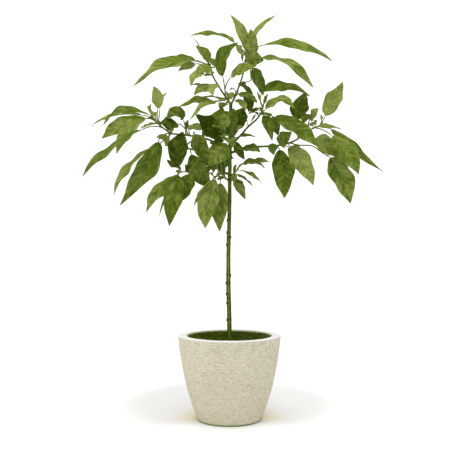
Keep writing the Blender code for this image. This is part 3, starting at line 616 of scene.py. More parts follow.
# Height, sideways shift and radius of the trunk in cm
TRUNK_AXIS = (
    (15.03, 0.0, 0.69), (23.6, 0.02, 0.69), (28.9, -0.04, 0.66), (33.7, -0.13, 0.66),
    (36.5, -0.24, 0.66), (39.8, -0.31, 0.66), (43.0, -0.31, 0.65), (46.5, -0.31, 0.60),
    (52.9, -0.22, 0.60), (58.3, -0.05, 0.58), (63.6, 0.05, 0.57), (70.0, 0.08, 0.55),
    (78.0, 0.16, 0.54), (86.0, 0.28, 0.52), (92.1, 0.40, 0.50),
)
# Heights of the leaf scars in cm
SCARS = (28.9, 33.7, 36.4, 39.8, 42.0, 51.0, 53.2, 54.5, 58.3, 63.6)
# Which way each scar looks, in degrees; 180 is to the left, 0 to the right
SCAR_TURNS = (190, 170, 200, 182, 350, 184, -8, 178, 186, 176)
# Heights of the collars under the shoots in cm
COLLARS = (69.6, 71.0, 74.2, 77.3, 80.2, 85.6)
# The trunk's top is rounded: the radius is multiplied by these at its last levels
TOP_LEVELS = {92.3: 0.93, 92.48: 0.7, 92.56: 0.35}


def trunk_at(height):
    """Sideways shift and radius of the trunk at a height, in cm, with its swellings."""
    levels = [row[0] for row in TRUNK_AXIS]
    shift = float(np.interp(height, levels, [row[1] for row in TRUNK_AXIS]))
    radius = float(np.interp(height, levels, [row[2] for row in TRUNK_AXIS]))
    for scar in SCARS:
        radius += 0.035 * math.exp(-((height - scar) / 0.42) ** 2)
    for collar in COLLARS:
        radius += 0.05 * math.exp(-((height - collar) / 0.7) ** 2)
    return shift, radius


# %% Draw the trunk up
TRUNK_SIDES = 24
FIRST_DISC = 0.004
# A scar reaches this far up and down, and round to faces that still look its way
SCAR_REACH = 0.0046
SCAR_LOOK = 0.86
# How far the bark is drawn in and raised at each of a scar's two steps
SCAR_STEPS = ((0.0006, 0.0013), (0.0007, 0.0005))
foot_height = TRUNK_AXIS[0][0] * CENTIMETRE
foot_radius = trunk_at(TRUNK_AXIS[0][0])[1] * CENTIMETRE
bpy.ops.mesh.primitive_cylinder_add(vertices=TRUNK_SIDES, radius=foot_radius, depth=FIRST_DISC,
                                    location=(0.0, 0.0, foot_height + FIRST_DISC / 2.0))
trunk = added("bark")
bpy.ops.object.transform_apply(location=True)
pick(trunk, "FACE", lambda face: face.normal.z > 0.9)
here = (0.0, foot_height + FIRST_DISC, foot_radius)
for level in (16.0, 19.0, 22.0, *np.arange(22.6, 92.1, 0.45), 92.1, *TOP_LEVELS):
    shift, radius = trunk_at(level)
    radius *= TOP_LEVELS.get(level, 1.0)
    here = drawn_on(here, (shift * CENTIMETRE, level * CENTIMETRE, radius * CENTIMETRE))
for scar, turn in zip(SCARS, SCAR_TURNS):
    look = Vector((math.cos(math.radians(turn)), math.sin(math.radians(turn)), 0.0))
    pick(trunk, "FACE", lambda face: face.normal.dot(look) > SCAR_LOOK
         and abs(face.calc_center_median().z - scar * CENTIMETRE) < SCAR_REACH)
    for inward, outward in SCAR_STEPS:
        bpy.ops.mesh.inset(thickness=inward, depth=outward)
nothing_selected()
roughened(trunk, "bark_unevenness", 0.012, 0.0008)
finish_piece(trunk, 60.0, ["trunk"], "trunk_bark")

# %% [markdown]
# ### Green bark
#
# The bark of a young avocado tree is green, with fine lengthwise streaks, small cork spots
# and dark rings at the old leaf nodes. A few pale strips run up it, a painted highlight:
# the one that faces the front stands for the lit streak down the trunk. The streaks come
# from a noise that is drawn out along the trunk's height. The strips are laid by the angle
# round the trunk, which the mesh carries as a number on its points.

# %% Bark finish
TURN = "turn"
# Where the pale strips of painted highlight run round the trunk, in degrees, and their half width
# in full turns
HIGHLIGHT_STRIPS = (95.0, 158.0, 270.0)
HIGHLIGHT_STRIP_REACH = 0.065
turns = trunk.data.attributes.new(TURN, "FLOAT", "POINT")
for vertex in trunk.data.vertices:
    shift = trunk_at(vertex.co.z / CENTIMETRE)[0] * CENTIMETRE
    turns.data[vertex.index].value = math.atan2(vertex.co.y, vertex.co.x - shift) / math.tau % 1.0

bark, shader, place = finish_material("green_bark", 0.6, 0.05)
up = parts_of(place)[2]
around = carried(place.net, TURN, "Fac")
painted_highlight_strip = most([between(abs(around - middle / 360.0), HIGHLIGHT_STRIP_REACH, 0.02) for middle in HIGHLIGHT_STRIPS])
streaks = cloudy(stretched(place, (1.0, 1.0, 0.10)), 420.0, 4.0)
spots = cloudy(stretched(place, (1.0, 1.0, 0.6)), 700.0, 2.0, 0.5)
# The pale strips lighten the bark: a painted highlight.
lightness = between(streaks, 0.34, 0.68) * 0.35 + painted_highlight_strip * 0.65
tone = mixed(lightness, paint(35, 53, 1), paint(118, 140, 38))
tone = mixed(between(cloudy(place, 45.0), 0.50, 0.66) * 0.5, tone, paint(46, 60, 8))
tone = mixed(between(spots, 0.60, 0.66) * 0.6, tone, paint(122, 130, 62))
rings = most([between(abs(up - (scar * CENTIMETRE + 0.002)), 0.0042, 0.0012) for scar in SCARS])
tone = mixed(rings * 0.5, tone, paint(48, 60, 16))
feed(shader.inputs["Base Color"], tone)
relief(shader, streaks + spots * 0.5, 0.0012)
trunk.data.materials.append(bark)
print("Bark finish with", len(place.net.nodes), "nodes")

# %% [markdown]
# ## Where stems and leaves grow
#
# The tables repeat the CAD's own layout, apart from the widths of seven leaves. They are
# in centimetres, as things are seen in the upright plane through the trunk. `seen` moves
# each point along its line of sight to its own depth, so a leaf keeps its place in the
# picture whether it grows to the front or to the back.

# %% Stems of each shoot
# A point is (across, height, depth); after the points comes the radius at the thick end.
STEMS = {
    "shoot_top_left": (
        (((0.4, 92.2, 0.0), (-1.1, 94.5, -1.2), (-2.3, 96.2, -1.4), (-3.1, 97.6, -1.2),
          (-4.9, 100.7, -0.6), (-5.7, 103.8, 0.0)), 0.25),
        (((-1.1, 94.5, -1.2), (-1.4, 97.2, -2.4), (-1.7, 99.2, -3.0)), 0.17),
    ),
    "shoot_top_right": (
        (((0.4, 92.2, 0.0), (1.5, 94.4, 1.4), (3.2, 98.6, 1.5), (4.2, 102.1, 1.5),
          (4.8, 105.2, 1.2), (4.7, 107.6, 1.0)), 0.25),
        (((3.2, 98.6, 1.5), (5.2, 98.9, 2.6), (6.9, 99.6, 3.4)), 0.16),
    ),
    "shoot_left_upper": (
        (((0.15, 77.1, 0.0), (-4.6, 81.3, 2.4), (-11.1, 83.0, 3.6), (-16.4, 83.6, 3.6),
          (-17.9, 84.2, 3.2), (-20.2, 85.9, 2.6), (-22.0, 87.5, 2.0)), 0.28),
    ),
    "shoot_left_lower": (
        (((0.1, 71.6, 0.0), (-3.3, 73.2, -1.2), (-6.6, 75.4, -3.4), (-8.6, 77.0, -4.6),
          (-10.1, 78.7, -5.0), (-12.5, 79.4, -5.0)), 0.27),
        (((-8.6, 77.0, -4.6), (-10.2, 74.4, -5.6), (-12.2, 72.7, -6.0),
          (-14.6, 72.4, -6.0)), 0.20),
    ),
    "shoot_right_upper": (
        (((0.2, 80.0, 0.0), (3.6, 83.5, -1.6), (5.4, 85.6, -2.6), (7.8, 87.7, -4.0),
          (9.3, 89.7, -5.0), (9.9, 91.4, -5.2)), 0.26),
    ),
    "shoot_right_lower": (
        (((0.15, 78.0, 0.0), (5.0, 79.3, 1.4), (8.0, 79.8, 2.0), (13.5, 80.1, 2.0),
          (17.7, 81.0, 2.0), (20.2, 82.2, 1.6), (22.4, 83.9, 1.0), (24.6, 85.2, 0.4),
          (27.1, 86.3, 0.0)), 0.29),
        (((17.7, 81.0, 2.0), (20.4, 80.3, 1.0), (24.2, 80.1, 0.0), (26.8, 78.4, -0.6),
          (28.6, 77.2, -0.8)), 0.19),
    ),
    "shoot_low_left": (
        (((0.1, 69.6, 0.0), (-1.6, 70.7, -2.2), (-3.6, 71.2, -3.8), (-4.4, 70.9, -4.2)), 0.22),
    ),
    "shoot_low_right": (
        (((0.1, 70.9, 0.0), (1.6, 72.3, -1.8), (2.4, 73.1, -2.4)), 0.22),
    ),
    "shoot_front": (
        (((0.2, 81.2, 0.0), (1.3, 82.4, -3.0), (0.9, 83.0, -7.0), (-0.8, 83.3, -11.0),
          (-1.8, 83.2, -14.5)), 0.26),
    ),
    "shoot_back_high": (
        (((0.2, 85.6, 0.0), (-0.9, 87.6, 6.0), (-3.0, 88.2, 12.0), (-4.0, 88.0, 18.0)), 0.27),
    ),
    "shoot_back_low": (
        (((0.1, 74.2, 0.0), (-1.8, 75.6, 6.0), (-4.8, 76.6, 12.0), (-6.2, 76.8, 18.0)), 0.27),
    ),
}

# %% Leaves of each shoot
# Foot of the petiole, base of the blade, its middle and its tip as (across, height), depth
# of base and tip, width, and the way it faces at base and tip. At 0 degrees the upper side
# looks up, at 90 it looks at the viewer.
LEAVES = {
    "shoot_top_left": (
        ((-5.6, 103.4), (-9.9, 105.0), (-18.9, 103.9), (-28.3, 97.6), -1.5, -6, 4.9, 44, 55),
        ((-5.6, 103.7), (-9.8, 105.3), (-15.0, 106.1), (-21.5, 105.1), 1.5, 7, 3.6, 24, 30),
        ((-5.3, 102.6), (-10.0, 104.2), (-12.6, 103.5), (-15.1, 102.0), 2.5, 8, 2.2, -50, -40),
        ((-5.6, 103.6), (-5.6, 105.0), (-7.3, 107.1), (-10.0, 109.6), -1.0, -5, 3.4, 60, 70),
        ((-5.7, 103.8), (-6.6, 105.4), (-8.7, 109.0), (-10.9, 112.3), 1.0, 4, 2.0, 6, 10),
        ((-5.6, 103.2), (-4.3, 103.3), (-5.0, 104.8), (-6.3, 106.1), 0.5, 3.0, 2.4, 60, 60),
        ((-5.0, 101.6), (-4.9, 101.9), (-7.6, 102.5), (-10.2, 101.0), -2.5, -5, 3.4, 64, 64),
        ((-3.1, 97.7), (-4.4, 97.3), (-8.0, 96.9), (-10.4, 94.9), -2.8, -5, 2.7, 72, 72),
        ((-3.0, 97.4), (-4.4, 98.2), (-8.4, 97.9), (-13.0, 98.5), 1.0, 5, 2.2, 8, 12),
        ((-1.7, 99.0), (-2.0, 100.4), (-1.9, 106.5), (2.8, 110.5), -3.4, -5.5, 3.8, 80, 60),
        ((-1.3, 96.6), (0.4, 100.3), (3.7, 102.5), (8.2, 103.5), -3.6, -8, 3.6, 62, 55),
        ((-0.6, 93.7), (-3.4, 93.2), (-7.6, 91.7), (-11.7, 87.6), -3.0, -9, 3.0, 35, 45),
        ((-0.8, 93.9), (-4.6, 93.3), (-9.9, 93.1), (-14.9, 91.5), -1.5, -4, 3.4, 40, 50),
        ((-0.9, 94.1), (-3.4, 94.3), (-5.8, 94.5), (-9.2, 94.1), 1.5, 7, 2.4, 25, 25),
        ((-0.4, 93.4), (-1.1, 92.7), (-1.9, 92.1), (-2.9, 91.0), -3.5, -7, 2.6, 60, 70),
        ((-2.7, 96.9), (-3.7, 98.2), (-5.0, 97.0), (-4.7, 94.9), -2.0, -7, 2.8, 62, 75),
        ((-4.9, 101.2), (-7.3, 101.3), (-10.1, 100.6), (-11.3, 97.5), -4.5, -8, 2.6, 62, 72),
    ),
    "shoot_top_right": (
        ((4.7, 107.3), (1.4, 110.5), (-4.4, 112.9), (-11.8, 112.3), 3.5, 7, 4.2, 38, 34),
        ((4.7, 106.9), (4.2, 107.3), (3.1, 108.1), (1.8, 109.7), 0.5, -3.0, 3.4, 60, 60),
        ((4.7, 107.5), (4.9, 108.0), (3.7, 113.3), (0.3, 118.6), 0.5, -2, 3.1, 75, 80),
        ((4.7, 107.6), (5.5, 109.0), (8.1, 113.9), (13.8, 118.6), 2.5, 6, 2.5, 52, 56),
        ((4.75, 107.2), (5.7, 105.8), (6.5, 110.2), (6.2, 114.5), 1.2, -3, 4.0, 75, 75),
        ((4.8, 106.3), (10.0, 109.7), (21.0, 109.4), (30.3, 104.8), 1.0, 2, 3.9, 50, 58),
        ((4.8, 105.4), (9.2, 105.8), (17.0, 104.4), (24.8, 97.0), -2.5, -8, 4.4, 30, 70),
        ((4.8, 105.8), (5.0, 104.7), (7.4, 105.2), (10.1, 105.2), -0.6, -2.6, 5.0, 76, 76),
        ((6.4, 99.5), (6.7, 103.1), (8.5, 99.4), (10.0, 94.8), 3.6, 6, 3.8, 70, 75),
        ((3.3, 98.8), (3.5, 97.7), (5.0, 96.7), (7.0, 95.2), 3.4, 10, 4.0, 60, 60),
        ((1.7, 95.1), (3.8, 94.9), (5.6, 92.9), (5.7, 90.0), 4.0, 9, 3.4, 70, 80),
        ((1.8, 95.3), (2.5, 95.4), (5.5, 94.6), (8.2, 92.6), 0.0, -5, 3.0, 50, 55),
        ((1.6, 94.7), (1.6, 95.3), (0.8, 95.1), (0.5, 93.6), -2.0, -5, 2.2, 50, 70),
        ((1.3, 94.2), (1.8, 93.5), (3.6, 92.6), (4.8, 90.4), -1.0, -6, 2.5, 60, 70),
        ((1.7, 95.0), (1.7, 96.2), (0.9, 96.9), (0.1, 96.0), 2.0, 5, 1.2, 20, 20),
        ((2.9, 97.9), (2.7, 98.4), (2.4, 98.8), (2.0, 99.3), 0.8, -2, 1.0, 40, 60),
    ),
    "shoot_left_upper": (
        ((-21.6, 87.2), (-23.8, 89.3), (-32.0, 90.1), (-37.2, 86.0), 3.0, 5, 4.8, 30, 40),
        ((-21.4, 87.0), (-26.0, 89.2), (-34.0, 88.9), (-40.8, 85.8), 6.0, 13, 4.2, 24, 24),
        ((-21.0, 86.6), (-24.6, 88.1), (-31.4, 85.9), (-37.6, 82.2), 0.5, -3, 5.6, 62, 72),
        ((-20.8, 86.4), (-25.4, 87.8), (-30.1, 83.9), (-33.2, 77.6), -2.5, -6, 4.2, 60, 70),
        ((-19.2, 85.1), (-26.0, 84.8), (-35.8, 78.8), (-43.3, 70.8), -6.0, -15, 3.8, 32, 54),
        ((-21.2, 86.8), (-21.1, 91.0), (-21.2, 94.5), (-22.4, 97.6), 1.5, 0, 3.3, 85, 85),
        ((-21.0, 86.6), (-20.5, 90.9), (-19.9, 93.9), (-18.1, 95.9), 4.0, 7, 1.7, 45, 40),
        ((-21.8, 87.4), (-22.0, 90.0), (-23.0, 90.4), (-24.3, 91.7), 0.0, -5, 3.6, 60, 55),
        ((-20.2, 85.9), (-21.0, 86.6), (-23.3, 86.2), (-25.9, 85.2), -2.0, -10, 4.2, 35, 30),
        ((-12.8, 83.3), (-13.6, 87.8), (-15.5, 89.6), (-18.4, 88.0), 1.0, -3, 5.2, 48, 60),
        ((-12.0, 83.2), (-15.3, 86.6), (-17.6, 86.6), (-20.6, 86.7), 0.0, -4, 4.2, 60, 65),
        ((-17.9, 84.3), (-18.8, 86.4), (-18.0, 85.6), (-16.9, 84.0), 1.0, -5, 2.6, 60, 60),
        ((-17.8, 84.0), (-18.1, 80.0), (-19.3, 82.1), (-21.5, 82.5), 1.0, -4, 3.0, 50, 60),
        ((-17.4, 83.9), (-20.9, 81.3), (-24.4, 73.2), (-32.4, 62.4), 0.0, -3, 6.1, 78, 70),
        ((-17.0, 83.8), (-22.6, 79.4), (-29.9, 73.4), (-34.1, 65.2), 4.5, 7, 5.0, 32, 36),
        ((-11.6, 83.1), (-12.2, 85.4), (-12.4, 86.6), (-12.0, 87.9), 2.6, 1.0, 1.2, 60, 60),
        ((-12.2, 83.2), (-12.6, 84.8), (-12.8, 86.0), (-12.9, 87.2), 4.0, 5.0, 1.0, 40, 40),
        ((-7.5, 82.2), (-8.0, 84.8), (-10.0, 85.5), (-12.1, 85.9), 3.0, 10, 3.8, 60, 60),
    ),
    "shoot_left_lower": (
        ((-14.4, 72.4), (-14.9, 73.9), (-15.0, 79.8), (-13.6, 84.3), -6.4, -3, 5.4, 82, 85),
        ((-14.2, 72.4), (-15.3, 71.7), (-16.5, 65.2), (-17.7, 56.4), -6.8, -9, 5.5, 82, 84),
        ((-14.5, 72.4), (-15.8, 71.1), (-20.8, 66.7), (-24.5, 60.5), -5.5, -4, 4.3, 45, 60),
        ((-12.4, 72.7), (-11.9, 71.9), (-12.8, 68.0), (-14.6, 63.4), -5.0, -4, 4.6, 80, 75),
        ((-14.5, 72.4), (-15.4, 71.2), (-18.3, 65.5), (-20.7, 59.2), -3.0, -1, 2.6, 24, 20),
        ((-14.6, 72.4), (-15.1, 73.5), (-16.6, 74.6), (-18.4, 76.1), -4.0, 2, 2.6, 50, 50),
        ((-11.9, 72.8), (-12.1, 72.9), (-12.5, 73.5), (-13.1, 74.6), -7.5, -11, 2.0, 50, 60),
        ((-11.6, 79.1), (-11.2, 77.6), (-9.0, 72.3), (-5.2, 67.5), -3.4, -2.4, 5.3, 76, 82),
        ((-10.6, 78.9), (-10.1, 83.6), (-8.7, 79.9), (-6.3, 74.9), -2.0, 1.0, 4.6, 80, 84),
        ((-4.4, 73.9), (-4.8, 74.0), (-5.6, 73.6), (-6.6, 72.0), -4.2, -9, 2.4, 50, 60),
    ),
    "shoot_right_upper": (
        ((9.9, 91.2), (10.0, 95.9), (16.4, 97.5), (23.8, 94.5), -4.6, -2, 4.6, 54, 44),
        ((9.7, 90.8), (10.5, 90.7), (15.0, 93.6), (19.3, 90.8), -7.0, -10, 3.6, 46, 55),
        ((9.2, 89.5), (13.2, 88.6), (20.0, 85.2), (26.4, 79.6), -6.0, -8, 4.9, 68, 74),
        ((9.0, 89.2), (10.0, 89.0), (11.3, 86.3), (12.6, 81.4), -6.4, -8, 3.0, 72, 76),
        ((9.3, 89.7), (12.6, 88.6), (13.4, 86.0), (14.4, 83.0), -4.4, -3, 2.8, 70, 74),
        ((9.1, 89.4), (9.8, 90.0), (10.8, 89.6), (11.6, 88.6), -6.0, -13, 2.8, 50, 50),
        ((9.4, 90.0), (9.2, 90.7), (8.4, 91.0), (7.2, 90.4), -4.0, 1.0, 2.2, 40, 40),
        ((9.8, 91.2), (10.2, 92.4), (10.4, 93.6), (10.2, 94.9), -5.6, -8, 1.4, 40, 40),
        ((8.6, 88.7), (8.2, 89.4), (7.0, 89.9), (5.6, 89.3), -4.6, -9, 2.0, 30, 30),
    ),
    "shoot_right_lower": (
        ((13.6, 80.1), (14.8, 80.4), (16.0, 82.0), (18.4, 84.2), 0.4, -5, 4.4, 66, 70),
        ((12.6, 80.0), (13.4, 80.6), (12.8, 79.4), (13.1, 77.3), 0.5, -3, 2.8, 70, 80),
        ((13.0, 80.0), (14.7, 79.0), (15.8, 72.2), (16.1, 64.6), -0.5, -4, 6.0, 84, 86),
        ((16.6, 80.7), (17.3, 79.6), (21.5, 74.8), (24.7, 68.4), 0.0, -3, 5.6, 80, 84),
        ((17.3, 80.9), (17.8, 80.0), (19.2, 79.7), (20.9, 79.0), 1.0, -6, 2.4, 60, 60),
        ((20.2, 82.2), (20.0, 87.6), (20.8, 91.6), (22.5, 95.8), 2.6, 4, 5.0, 74, 78),
        ((22.6, 84.0), (23.8, 88.2), (24.7, 89.3), (26.2, 91.2), 2.0, -4, 3.0, 60, 60),
        ((23.0, 84.3), (23.1, 89.4), (22.4, 88.5), (21.7, 86.6), 0.0, -3, 3.0, 60, 70),
        ((27.0, 86.3), (28.2, 88.9), (30.6, 93.4), (33.4, 99.0), 0.5, 2, 5.0, 72, 60),
        ((26.6, 86.1), (27.1, 87.6), (27.0, 88.4), (26.7, 89.3), -1.0, -3, 1.2, 60, 60),
        ((25.2, 85.5), (25.1, 86.3), (25.4, 87.0), (25.9, 87.5), -0.6, -3, 1.4, 60, 60),
        ((24.8, 85.3), (24.5, 85.9), (24.4, 86.5), (24.9, 87.1), 2.0, 5, 1.6, 60, 60),
        ((24.3, 85.1), (25.0, 85.5), (29.0, 85.7), (33.0, 84.9), -1.0, -5, 2.4, 34, 44),
        ((26.2, 85.9), (29.8, 85.0), (36.2, 79.3), (45.7, 72.0), 0.5, 3, 4.0, 66, 40),
        ((25.0, 85.3), (30.2, 83.0), (34.8, 77.8), (38.0, 71.6), -4.5, -8, 5.6, 74, 78),
        ((23.6, 84.7), (24.8, 81.5), (30.5, 79.2), (37.0, 73.2), -2.6, -3, 6.2, 66, 72),
        ((28.4, 77.3), (29.6, 76.7), (33.1, 70.5), (35.6, 63.1), -1.2, -5, 6.6, 80, 82),
    ),
    "shoot_low_left": (
        ((-3.8, 71.1), (-4.2, 70.3), (-6.5, 63.2), (-7.1, 55.8), -4.6, -8, 5.7, 82, 84),
        ((-2.4, 70.9), (-2.7, 69.2), (-3.1, 62.6), (-2.8, 54.8), -3.6, -5, 5.1, 84, 86),
        ((-4.2, 71.0), (-5.4, 69.6), (-8.0, 66.2), (-10.7, 62.1), -5.6, -11, 2.2, 30, 34),
        ((-1.2, 70.4), (-1.5, 71.0), (-2.6, 71.6), (-4.0, 71.0), -3.0, -9, 2.0, 40, 50),
        ((-4.3, 70.9), (-5.0, 71.4), (-5.9, 71.9), (-6.7, 71.4), -5.0, -10, 1.8, 20, 20),
    ),
    "shoot_low_right": (
        ((2.2, 72.9), (3.9, 75.0), (7.4, 75.5), (11.8, 75.4), -3.4, -8, 3.6, 38, 34),
        ((2.1, 72.8), (4.2, 74.7), (7.8, 74.9), (10.5, 73.4), -1.0, 3.0, 2.8, 26, 30),
        ((2.3, 73.0), (2.8, 73.0), (6.3, 71.6), (10.1, 68.7), -3.6, -10, 2.2, 28, 30),
        ((1.6, 72.3), (1.9, 71.8), (4.4, 70.3), (6.8, 68.2), -3.0, -8, 2.6, 24, 24),
        ((1.2, 71.9), (1.7, 70.6), (2.9, 67.8), (4.7, 64.2), -2.0, -3, 3.4, 52, 56),
        ((1.4, 72.1), (1.5, 71.8), (1.4, 70.6), (1.5, 69.1), -2.6, -5, 1.8, 70, 70),
    ),
    "shoot_front": (
        ((1.2, 82.3), (2.3, 82.6), (4.9, 83.0), (7.8, 82.6), -4.0, -9, 2.6, 30, 32),
        ((1.2, 82.2), (1.9, 81.4), (2.7, 78.7), (4.5, 76.0), -3.6, -5, 2.8, 66, 70),
        ((1.3, 82.4), (3.2, 79.1), (6.3, 79.2), (9.1, 78.1), -5.0, -9, 4.0, 40, 45),
        ((1.3, 82.5), (1.3, 83.4), (2.0, 84.8), (4.0, 86.0), -5.0, -10, 2.6, 60, 60),
        ((1.1, 82.8), (-0.9, 80.8), (-3.2, 77.8), (-6.2, 74.2), -7.5, -9, 5.8, 80, 84),
        ((-1.6, 83.2), (-3.0, 83.2), (-6.4, 86.4), (-9.9, 89.4), -14.0, -14, 4.6, 72, 60),
        ((-1.2, 83.3), (-2.8, 82.0), (-5.4, 83.4), (-7.6, 83.9), -11.5, -8, 3.2, 60, 60),
        ((-1.0, 83.3), (-2.2, 83.9), (-2.9, 87.5), (-1.9, 91.5), -9.5, -6, 5.0, 76, 76),
        ((-1.7, 83.2), (-1.2, 85.4), (-1.3, 87.6), (-2.1, 89.7), -15.5, -18, 2.6, 76, 76),
        ((1.0, 82.9), (1.4, 84.4), (2.9, 88.4), (3.9, 91.3), -5.0, -4, 4.8, 76, 78),
        ((0.9, 83.0), (0.6, 84.6), (0.6, 88.0), (1.4, 91.2), -7.6, -8, 3.4, 74, 76),
        ((-1.8, 83.2), (-2.4, 82.2), (-3.9, 80.9), (-5.7, 80.7), -15.5, -23, 3.0, 50, 50),
        ((-1.8, 83.2), (-1.2, 82.6), (0.0, 81.4), (0.9, 79.6), -15.5, -24, 3.2, 50, 50),
        ((-1.8, 83.2), (-2.2, 84.0), (-3.2, 85.4), (-4.6, 85.6), -16.0, -27, 3.2, 40, 40),
    ),
}

# How light each leaf is drawn, from 0 for the darkest to 9 for the palest, in the same order:
# partly each leaf's own tone, partly painted shade, lowest where a leaf lies in the shade of
# the crown, as on the two back shoots
LEAF_TONES_WITH_SHADE = {
    "shoot_top_left": "54664566535654387",
    "shoot_top_right": "4777655543246665",
    "shoot_left_upper": "455649785433846556",
    "shoot_left_lower": "1354642453",
    "shoot_right_upper": "354443463",
    "shoot_right_lower": "55376283699764565",
    "shoot_low_left": "65466",
    "shoot_low_right": "555556",
    "shoot_front": "53455003613143",
    "shoot_back_high": "212312212",
    "shoot_back_low": "212321212",
}
LIGHTEST = 9.0
# The meshes carry the tone at each point under this name
TONE = "tone"
print("Shoots:", len(STEMS), "sighted leaves:", sum(len(rows) for rows in LEAVES.values()))


# %% Lines and directions
VIEW_DISTANCE = 177.0
VIEW_HEIGHT = 47.0


def seen(across, height, depth):
    """Point at a depth that is seen at a place in the trunk's plane, in cm."""
    grow = 1.0 + depth / VIEW_DISTANCE
    return Vector((across * grow, depth, VIEW_HEIGHT + (height - VIEW_HEIGHT) * grow))


def smooth_line(points, steps=5):
    """Rounded line through all the points."""
    line = []
    for place in range(len(points) - 1):
        before = points[max(0, place - 1)]
        first = points[place]
        second = points[place + 1]
        after = points[min(len(points) - 1, place + 2)]
        for step in range(steps):
            t = step / steps
            line.append(0.5 * (first * 2.0 + (second - before) * t
                               + (before * 2.0 - first * 5.0 + second * 4.0 - after) * t ** 2
                               + (first * 3.0 - before - second * 3.0 + after) * t ** 3))
    line.append(points[-1])
    return line


def nearest_on(lines, across, height):
    """Point of the stems that is seen nearest to a place in the trunk's plane."""
    best = None
    for line in lines:
        for low, high in zip(line, line[1:]):
            for step in range(5):
                place = low + (high - low) * (step / 4)
                grow = 1.0 + place.y / VIEW_DISTANCE
                miss = math.hypot(place.x / grow - across,
                                  VIEW_HEIGHT + (place.z - VIEW_HEIGHT) / grow - height)
                if best is None or miss < best[0]:
                    best = (miss, place)
    return best[1]


def bend(start, middle, end, share):
    """Point of the curve through three points, with the middle at half way."""
    control = middle * 2.0 - (start + end) * 0.5
    return start * (1.0 - share) ** 2 + control * 2.0 * share * (1.0 - share) + end * share ** 2


def facing(axis, to_right, degrees):
    """Normal of a blade from its direction and the way it faces the viewer."""
    viewer = Vector((0.0, -1.0, 0.0))
    forward = (viewer - axis * viewer.dot(axis)).normalized()
    upward = forward.cross(axis) if to_right else axis.cross(forward)
    turn = math.radians(degrees)
    return (upward * math.cos(turn) + forward * math.sin(turn)).normalized()


# %% [markdown]
# ## One leaf, made three times
#
# An avocado leaf is a long pointed oval. It is folded a little along its midrib and its
# edge runs in shallow waves. The flat outline is modelled once for large, medium and small
# leaves: a grid whose rows are drawn in to the width of the blade at that place, with the
# rows at both ends closed to a point. Its map is laid out in blade lengths and half widths,
# so that the veins keep their spacing on every leaf.

# %% Flat leaves
def blade_shape(share):
    """Half width of a blade along its length, as a part of its greatest half width."""
    return max(0.0, math.sin(math.pi * share ** 0.85)) ** 0.82 * (1.0 - 0.25 * share ** 4)


def flat_leaf(name, columns, rows):
    """Leaf outline, one unit long along Y, with half widths along X."""
    bpy.ops.mesh.primitive_grid_add(x_subdivisions=columns, y_subdivisions=rows, size=1.0,
                                    location=(0.0, 0.5, 0.0))
    leaf = added(name)
    bpy.ops.object.transform_apply(location=True)
    for row in range(rows + 1):
        share = row / rows
        pick(leaf, "VERT", lambda v: abs(v.co.y - share) < 0.2 / rows)
        width = max(2.0 * blade_shape(share), 1e-6)
        bpy.ops.transform.resize(value=(width, 1.0, 1.0), center_override=(0.0, share, 0.0))
    bpy.ops.mesh.select_all(action="SELECT")
    bpy.ops.mesh.remove_doubles(threshold=0.0001)
    nothing_selected()
    layout = leaf.data.uv_layers.active.data
    for corner in leaf.data.loops:
        place = leaf.data.vertices[corner.vertex_index].co
        layout[corner.index].uv = (place.y, 0.5 + 0.5 * place.x)
    leaf["rows"] = rows
    print(f"{name}: {len(leaf.data.polygons)} faces")
    return leaf


LARGE_LEAF = 10.5
SMALL_LEAF = 6.0
large = flat_leaf("large_leaf", 10, 30)
medium = flat_leaf("medium_leaf", 8, 20)
small = flat_leaf("small_leaf", 6, 12)

# %% [markdown]
# ### Bend a leaf into place
#
# Every leaf hangs on its own line and turns its own way, so each copy is bent in code: a
# vertex keeps its share of the length and of the width, and is moved onto the leaf's
# curved line. A curve modifier could do this too, but wouldn't hold the way that the leaf
# faces at its base and at its tip. The fold, the waves of the edge and a fine ruffle are
# added across the blade.

# %% Bend and ruffle
# Depth of the fold, as a part of the half width
VALLEY = 0.19
# The blades are this much wider than the solids, because the fold and the waves narrow them
BLADE_FULLNESS = 1.09
# Height of the edge's ruffle, as a part of the width
RUFFLE = 0.04
# Depth of the edge's notches, as a part of the half width
NOTCH = 0.06


